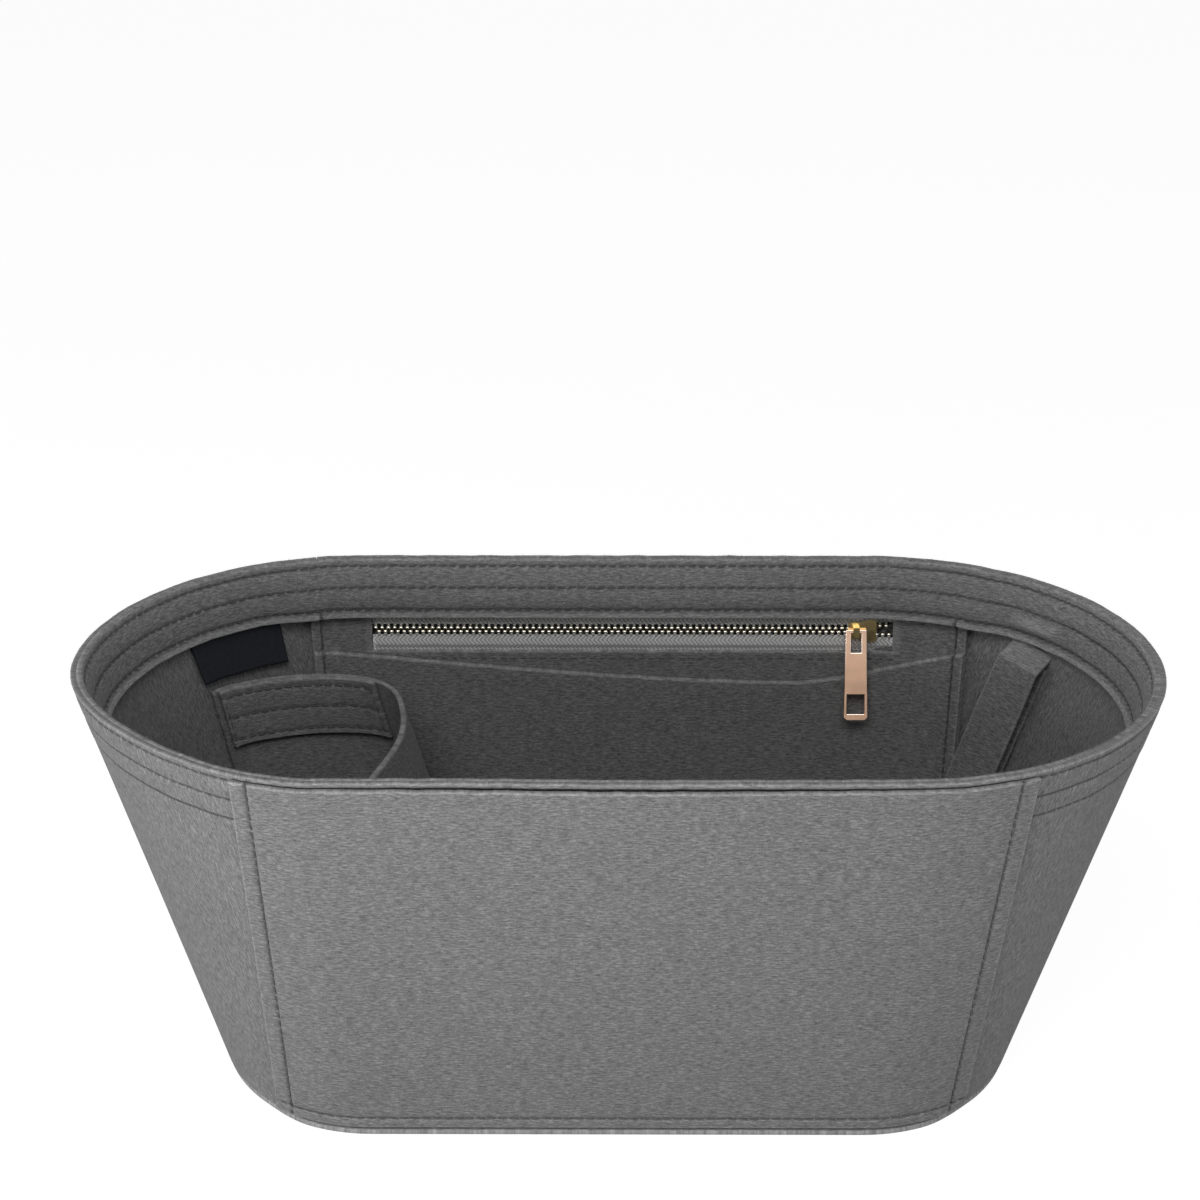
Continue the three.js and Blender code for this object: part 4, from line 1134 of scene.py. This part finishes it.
def build_zip_panel():
    window = [back_turn(WINDOW_RIGHT), back_turn(WINDOW_LEFT)]
    low = heights(FLOOR, WINDOW_LOW)
    middle = heights(WINDOW_LOW, WINDOW_HIGH)
    high = heights(WINDOW_HIGH, ZIP_PANEL_TOP)
    z = np.concatenate([low, middle[1:], high[1:]])
    turn, z = stations(inner_knots(*window), z, SEAM_KNOTS)
    columns = [int(np.argmin(np.abs(turn[:, 0] - float(knot(FLOOR))))) for knot in window]
    rows = [len(low) - 1, len(low) + len(middle) - 2]
    obj = wall_sheet("zip_pocket_felt", turn, z, np.full(turn.shape, -LAYER),
                     back_dip=seam_dip(turn, z, ZIP_SEAMS), hole=(*columns, *rows))
    sew(obj, "zip_pocket_panel", "back_wall")


def build_slip_pocket():
    knots = inner_knots(3, 5)
    share = heights(0.0, BAND_BOTTOM - SLIP_LEFT_DROP - FLOOR)
    turn, _ = stations(knots, np.full(1, CHAIN_Z), SEAM_KNOTS)
    mouth = slip_mouth(wall_point(turn, CHAIN_Z, 0.0)[..., 0])
    turn, z = stations(knots, mix(FLOOR, mouth, (share / share[-1])[None, :]), SEAM_KNOTS)
    # Painted light: the mouth's up-facing cut edge is painted pale
    obj = wall_sheet("slip_pocket_felt", turn, z, np.full(turn.shape, -2 * LAYER),
                     back_dip=seam_dip(turn, z, ZIP_SEAMS), rubbed=mouth - z < MOUTH_EDGE)
    sew(obj, "slip_pocket_panel", "zip_pocket_panel")


def build_inner_stitches():
    slip_face = -2 * LAYER - FELT + VALLEY_DEPTH
    zip_face = -LAYER - FELT + VALLEY_DEPTH
    rows = []
    for edge in ZIP_SEAMS:
        corner = float(slip_mouth(wall_point(edge(CHAIN_Z), CHAIN_Z, 0.0)[0]))
        rows.append(rising_row(edge, FLOOR + SEAM_START, corner - SEAM_BREAK, slip_face, True))
        rows.append(rising_row(edge, corner + SEAM_BREAK, BAND_HEM, zip_face, True))
        rows.append(rising_row(edge, BAND_HEM, RIM_ROWS[-1], band_face, True))
    row = WINDOW_LOW - WINDOW_ROW_GAP
    sides = (WINDOW_RIGHT + WINDOW_ROW_GAP, WINDOW_LEFT - WINDOW_ROW_GAP)
    ends = [float(turn_at(x, row, True)) for x in sides]
    rows.append(level_row(*ends, row, zip_face - VALLEY_DEPTH / 2, True))
    stitch_object("inner_pocket_stitches", rows)


# Zipper

def zipper_matrix():
    """Chain frame: X along the chain, Z up the panel, origin in the middle of the zip panel's felt."""
    origin = wall_point(4.0, CHAIN_Z, -(LAYER + FELT / 2))
    up = Vector((0.0, math.sin(BACK_TILT), math.cos(BACK_TILT)))
    along = Vector((1.0, 0.0, 0.0))
    basis = Matrix((along, up.cross(along), up)).transposed().to_4x4()
    return np.array(Matrix.Translation(Vector(origin.tolist())) @ basis)


ZIPPER = zipper_matrix()


def to_zipper(points):
    return points @ ZIPPER[:3, :3].T + ZIPPER[:3, 3]


def splay(x):
    """How far each tooth row stands off the middle of the chain."""
    start = SLIDER_X - SLIDER_LENGTH / 8
    end = SLIDER_X + SLIDER_LENGTH / 2 - POST_LENGTH - TOOTH_PITCH / 2
    return ROW_SPLAY * smoothstep(x, start, end)


def tooth_shape():
    """One tooth as a rounded block, in half sizes of 1, with its faces."""
    latitude = np.linspace(-QUARTER, QUARTER, TOOTH_RINGS)
    longitude = np.linspace(0, 2 * math.pi, TOOTH_SIDES, endpoint=False)

    def soft(value):
        return np.sign(value) * np.abs(value) ** TOOTH_POWER

    flat = soft(np.cos(latitude))[:, None]
    x = flat * soft(np.cos(longitude))
    y = np.broadcast_to(soft(np.sin(latitude))[:, None], x.shape)
    z = flat * soft(np.sin(longitude))
    index = np.arange(x.size).reshape(x.shape)
    turned = np.roll(index, -1, axis=1)
    faces = np.stack([index[:-1], turned[:-1], turned[1:], index[1:]], axis=-1).reshape(-1, 4)
    return np.stack([x, y, z], axis=-1).reshape(-1, 3), faces


def build_teeth(name, side):
    """The heads and the legs of one row of teeth. The lower row stands half a pitch along."""
    first = WINDOW_LEFT + LAP_GAP + TOOTH_PITCH / 2
    last = WINDOW_RIGHT - LAP_GAP - TOOTH_PITCH / 2
    stagger = 0.0 if side > 0 else TOOTH_PITCH / 2
    places = np.arange(first + stagger, last, TOOTH_PITCH)
    shape, shape_faces = tooth_shape()
    faces = (shape_faces + np.arange(len(places))[:, None, None] * len(shape)).reshape(-1, 4)
    # The legs get the darker painted-shade copy of the teeth's metal
    for part, size, (low, high), material, nodes in (
        ("heads", HEAD_SIZE, HEAD_SPAN, tooth_metal, [f"zipper_teeth_{name}"]),
        ("legs", LEG_SIZE, LEG_SPAN, leg_metal_painted_shade, []),
    ):
        half = np.array([*size, high - low]) / 2
        centres = np.stack([places, 0 * places, side * ((low + high) / 2 + splay(places))], axis=-1)
        vertices = (shape * half + centres[:, None]).reshape(-1, 3)
        obj = make_object(f"zipper_{name}_{part}", to_zipper(vertices), [faces])
        dress(obj, "zipper_teeth", material, *nodes)


def build_tape(name, side):
    columns, rows = TAPE_GRID
    x = np.linspace(WINDOW_LEFT + LAP_GAP, WINDOW_RIGHT - LAP_GAP, columns)[:, None]
    rise = mix(BEAD_INNER + splay(x), WINDOW_HEIGHT / 2 + TAPE_MARGIN, np.linspace(0, 1, rows)[None, :])
    back = TAPE_SET_BACK * smoothstep(rise, *[WINDOW_HEIGHT / 2 - bend for bend in TAPE_BEND])
    local = np.stack([np.broadcast_to(x, rise.shape), back - TAPE_THICKNESS / 2, side * rise], axis=-1)
    local = local[:, ::side]
    obj = sheet(f"zipper_tape_{name}_weave", to_zipper(local), np.broadcast_to(ZIPPER[:3, 1], local.shape),
                TAPE_THICKNESS, radii=(TAPE_THICKNESS / 2, TAPE_THICKNESS / 2))
    dress(obj, "zipper_tape", tape_weave, f"zipper_tape_{name}")
    declare(obj)


# Bottle holder

def catmull_rom(points, share):
    """Centripetal curve through points, with its direction, at shares of its spans."""
    points = np.stack(points)
    points = np.concatenate([[2 * points[0] - points[1]], points, [2 * points[-1] - points[-2]]])
    spans = len(points) - 3
    at = np.clip(np.asarray(share) * spans, 0, spans - 1e-9)
    index = at.astype(int)
    local = (at - index)[:, None]
    p0, p1, p2, p3 = [points[index + shift] for shift in range(4)]
    d0, d1, d2 = [np.sqrt(np.linalg.norm(b - a, axis=1))[:, None] for a, b in ((p0, p1), (p1, p2), (p2, p3))]
    start = ((p1 - p0) / d0 - (p2 - p0) / (d0 + d1) + (p2 - p1) / d1) * d1
    end = ((p2 - p1) / d1 - (p3 - p1) / (d1 + d2) + (p3 - p2) / d2) * d1
    c2 = -3 * p1 + 3 * p2 - 2 * start - end
    c3 = 2 * p1 - 2 * p2 + start + end
    place = p1 + local * (start + local * (c2 + local * c3))
    return place, unit(start + local * (2 * c2 + 3 * local * c3))


def holder_line(share, z):
    """Plan of the bottle holder at one height: points, and directions towards the bottle."""
    seam = -(FELT + HOLDER_SEAM_GAP + FELT / 2)
    straight, end, depth = section(z)
    points = [
        wall_point(HOLDER_BACK_TURN + HOLDER_MARGIN_TURN, z, seam),
        wall_point(HOLDER_BACK_TURN, z, seam),
        *[np.array([inward - straight - end, part * depth, z]) for inward, part in HOLDER_RUN],
        wall_point(HOLDER_FRONT_TURN + HOLDER_MARGIN_TURN, z, seam - HOLDER_BEND),
        wall_point(HOLDER_FRONT_TURN, z, seam),
        wall_point(HOLDER_FRONT_TURN - HOLDER_MARGIN_TURN, z, seam),
    ]
    place, heading = catmull_rom(points, share)
    return place, np.stack([heading[:, 1], -heading[:, 0], np.zeros(len(heading))], axis=-1)


def holder_grid(share, z):
    """The holder's points and directions at several heights, and the heights on the same grid."""
    lines = [holder_line(share, level) for level in z]
    place, aside = [np.stack(part, axis=1) for part in zip(*lines)]
    return place, aside, np.broadcast_to(z, place.shape[:2])


def build_holder_wall():
    shares = spread_lines(0.0, 1.0, HOLDER_STEP, HOLDER_LINES, HOLDER_LINES)
    middle, aside, level = holder_grid(shares, heights(FLOOR, HOLDER_TOP, HOLDER_ROWS))
    dip = HOLDER_CREASE * row_dip(level, HOLDER_ROWS) * (shares < HOLDER_BAND_SPAN[1])[:, None]
    obj = sheet("bottle_holder_felt", middle - aside * FELT / 2, aside, FELT, dip=dip,
                radii=(RIM_RADIUS, CUT_RADIUS), open_sides=False)
    sew(obj, "bottle_holder_wall", "left_end_wall", "front_wall")


def build_holder_facing():
    start, end = HOLDER_BAND_SPAN
    low = HOLDER_TOP - HOLDER_BAND_HEIGHT
    shares = spread_lines(start, end, FACING_STEP, HOLDER_LINES, HOLDER_LINES)
    middle, aside, level = holder_grid(shares, heights(low, HOLDER_TOP, HOLDER_ROWS, FACING_ROW_STEP))
    loose = np.clip((HOLDER_ROWS[-1] - level) / (HOLDER_ROWS[-1] - low), 0, 1)
    close = (LAP_GAP - BUTTED) * closing(level, HOLDER_TOP)
    lift = HOLDER_PUFF * (strip_puff(level, HOLDER_ROWS) + loose) - close
    face = middle + aside * (LAYER - FELT / 2 + lift)[..., None]
    dip = HOLDER_CREASE * row_dip(level, HOLDER_ROWS)
    obj = sheet("bottle_holder_facing", face, aside, FELT, back_dip=dip, radii=(BUTTED, RIM_RADIUS),
                open_sides=False)
    sew(obj, "bottle_holder_band", "bottle_holder_wall")

    along = np.linspace(start + FACING_ROW_INSET, end - FACING_ROW_INSET, 300)
    lines = []
    for row in HOLDER_ROWS:
        place, aside = holder_line(along, row)
        lines.append((place + aside * (LAYER + FELT / 2 - HOLDER_CREASE * VALLEY_DEPTH), aside))
    upright = np.linspace(low + FACING_SIDE_MARGIN, HOLDER_TOP - FACING_SIDE_MARGIN, 40)
    for edge, inset in zip(HOLDER_BAND_SPAN, FACING_SIDE_INSETS):
        place, aside, _ = holder_grid(np.array([edge + inset]), upright)
        lines.append((place[0] + aside[0] * (LAYER + FELT / 2 - VALLEY_DEPTH / 3), aside[0]))
    stitch_object("bottle_holder_stitches", lines)


def build_label():
    top = BAND_HEM - LAP_GAP
    columns, rows = LABEL_GRID
    _, end, depth = section(top)
    length = LABEL_LENGTH / ((end + depth) / 2) / QUARTER
    turn = LABEL_START_TURN + np.linspace(0, length, columns)[:, None]
    turn, z = np.broadcast_arrays(turn, np.linspace(top - LABEL_HEIGHT, top, rows)[None, :])
    outer = -LAYER - LABEL_LIFT * ((top - z) / LABEL_HEIGHT) ** LABEL_LIFT_POWER
    obj = wall_sheet("label_bare", turn, z, outer, LABEL_THICKNESS,
                     radii=(LABEL_THICKNESS / 3, LABEL_THICKNESS / 3))
    dress(obj, "label_weave", label_weave, "label")
    declare(obj)


# Key strap

def joint_value(name, key):
    return next(np.array(joint[key], float) for joint in frame["joints"] if joint["name"] == name)


def build_key_strap():
    """Folded strap, from its seam down round the hook's eye and up again."""
    seam, eye = joint_value("strap_swing", "pos_m"), joint_value("hook_swing", "pos_m")
    axis = joint_value("strap_swing", "axis")
    length = np.linalg.norm(seam - eye)
    up = (seam - eye) / length
    across = -axis / np.linalg.norm(axis)
    out = np.cross(up, across)
    angle = np.linspace(math.pi, 2 * math.pi, STRAP_FOLD_POINTS)
    fold = [(STRAP_FOLD * math.cos(a), -length + STRAP_FOLD * math.sin(a)) for a in angle]
    path = [np.array(point) for point in (*STRAP_DOWN, *fold, *STRAP_UP)]
    points, heading = catmull_rom(path, np.linspace(0, 1, STRAP_POINTS))
    width = spread_lines(-STRAP_WIDTH / 2, STRAP_WIDTH / 2, STRAP_STEP, CUT_LINES, CUT_LINES)
    line = points[:, :1] * out + points[:, 1:] * up
    inside = -heading[:, 1:] * out + heading[:, :1] * up
    twist = STRAP_TWIST * np.sin(math.pi * np.clip(-points[:, 1:] / length, 0, 1))
    sideways = np.cos(twist) * across + np.sin(twist) * out
    face = seam + line[:, None] + width[None, :, None] * sideways[:, None]
    inward = np.broadcast_to(inside[:, None], face.shape)
    # Painted light: the strap's patch above its crease is painted pale where it faces up
    rubbed = STRAP_PAINTED_LIGHT * (np.cumsum(points[:, 1] < STRAP_CREASE) == 0)
    obj = sheet("key_strap_felt", face, inward, STRAP_LAYER, upright=True, rubbed=rubbed[:, None])
    obj.data.materials.append(felt)
    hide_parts("key_strap")
    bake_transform(obj)
    declare(obj)


# Metal fittings kept from the frame

def finish_metal(node, face_material, edge_highlight_material, width):
    """Rounds the edges of a frame node, and gives its faces their metal and its polished edges a paler
    metal, which is a painted highlight.
    """
    obj = frame["nodes"][node]
    obj.data.materials.clear()
    obj.data.materials.append(face_material)
    obj.data.materials.append(edge_highlight_material)
    weld = obj.modifiers.new("weld", "WELD")
    weld.merge_threshold = 1e-6
    bevel = obj.modifiers.new("rounding", "BEVEL")
    bevel.width = width
    bevel.segments = 3
    bevel.limit_method = "ANGLE"
    bevel.material = 1
    bevel.harden_normals = True


# Studio

def aimed(name, data, place, direction):
    """Object of a lamp or camera that looks in a direction."""
    obj = bpy.data.objects.new(name, data)
    obj.location = place
    obj.rotation_euler = direction.to_track_quat("-Z", "Y").to_euler()
    bpy.context.scene.collection.objects.link(obj)
    return obj


def build_floor():
    mesh = bpy.data.meshes.new("floor")
    corners = [(x * FLOOR_REACH, y * FLOOR_REACH, 0) for x, y in ((-1, -1), (1, -1), (1, 1), (-1, 1))]
    mesh.from_pydata(corners, [], [(0, 1, 2, 3)])
    floor = bpy.data.objects.new("floor", mesh)
    floor.location.z = FLOOR_Z
    bpy.context.scene.collection.objects.link(floor)
    material, tree, shader = new_material(
        "floor", Roughness=1.0, Specular_IOR_Level=0.0, Base_Color=FLOOR_COLOUR)
    white = tree.add("Emission", Strength=tree.calc("MULTIPLY", tree.seen("Camera", "Glossy"), FLOOR_WHITE))
    both = tree.add("AddShader")
    tree.feed(both.inputs[0], shader.outputs["BSDF"])
    tree.feed(both.inputs[1], white.outputs["Emission"])
    tree.put(tree.nodes["Material Output"], Surface=both.outputs["Shader"])
    mesh.materials.append(material)


def build_world():
    """White surroundings, which give only a dim light to the felt."""
    world = bpy.data.worlds.new("studio")
    bpy.context.scene.world = world
    world.use_nodes = True
    tree = Tree(world.node_tree)
    seen = tree.seen("Camera", "Glossy", "Transmission")
    strength = tree.ranged(seen, To_Min=AMBIENT, To_Max=1.0)
    tree.put(tree.nodes["Background"], Strength=strength, Color=WHITE)


def build_lamps():
    for name, place, width, height, power in LAMPS:
        lamp = bpy.data.lights.new(name, "AREA")
        lamp.shape = "RECTANGLE"
        lamp.size = width
        lamp.size_y = height
        lamp.energy = power
        aimed(name, lamp, place, LAMP_AIM - Vector(place)).visible_camera = False


def build_camera():
    camera = bpy.data.cameras.new("camera")
    camera.lens = CAMERA_LENS
    camera.sensor_width = SENSOR
    back = Vector((
        math.sin(CAMERA_YAW) * math.cos(CAMERA_ELEVATION),
        -math.cos(CAMERA_YAW) * math.cos(CAMERA_ELEVATION),
        math.sin(CAMERA_ELEVATION),
    ))
    scene = bpy.context.scene
    scene.camera = aimed("camera", camera, CAMERA_TARGET + back * CAMERA_DISTANCE, -back)
    scene.view_settings.view_transform = "Standard"


build_floor()
build_world()
build_lamps()
build_camera()
build_base()
build_walls()
build_rim_band()
build_outer_pocket("front_pocket_panel", FRONT_POCKET)
build_outer_pocket("back_pocket_panel", BACK_POCKET)
build_rim_stitches()
build_zip_panel()
build_slip_pocket()
build_inner_stitches()
for row_name, row_side in (("upper", 1), ("lower", -1)):
    build_teeth(row_name, row_side)
    build_tape(row_name, row_side)
build_holder_wall()
build_holder_facing()
build_label()
build_key_strap()
build_fuzz()
for metal in METALS:
    finish_metal(*metal)
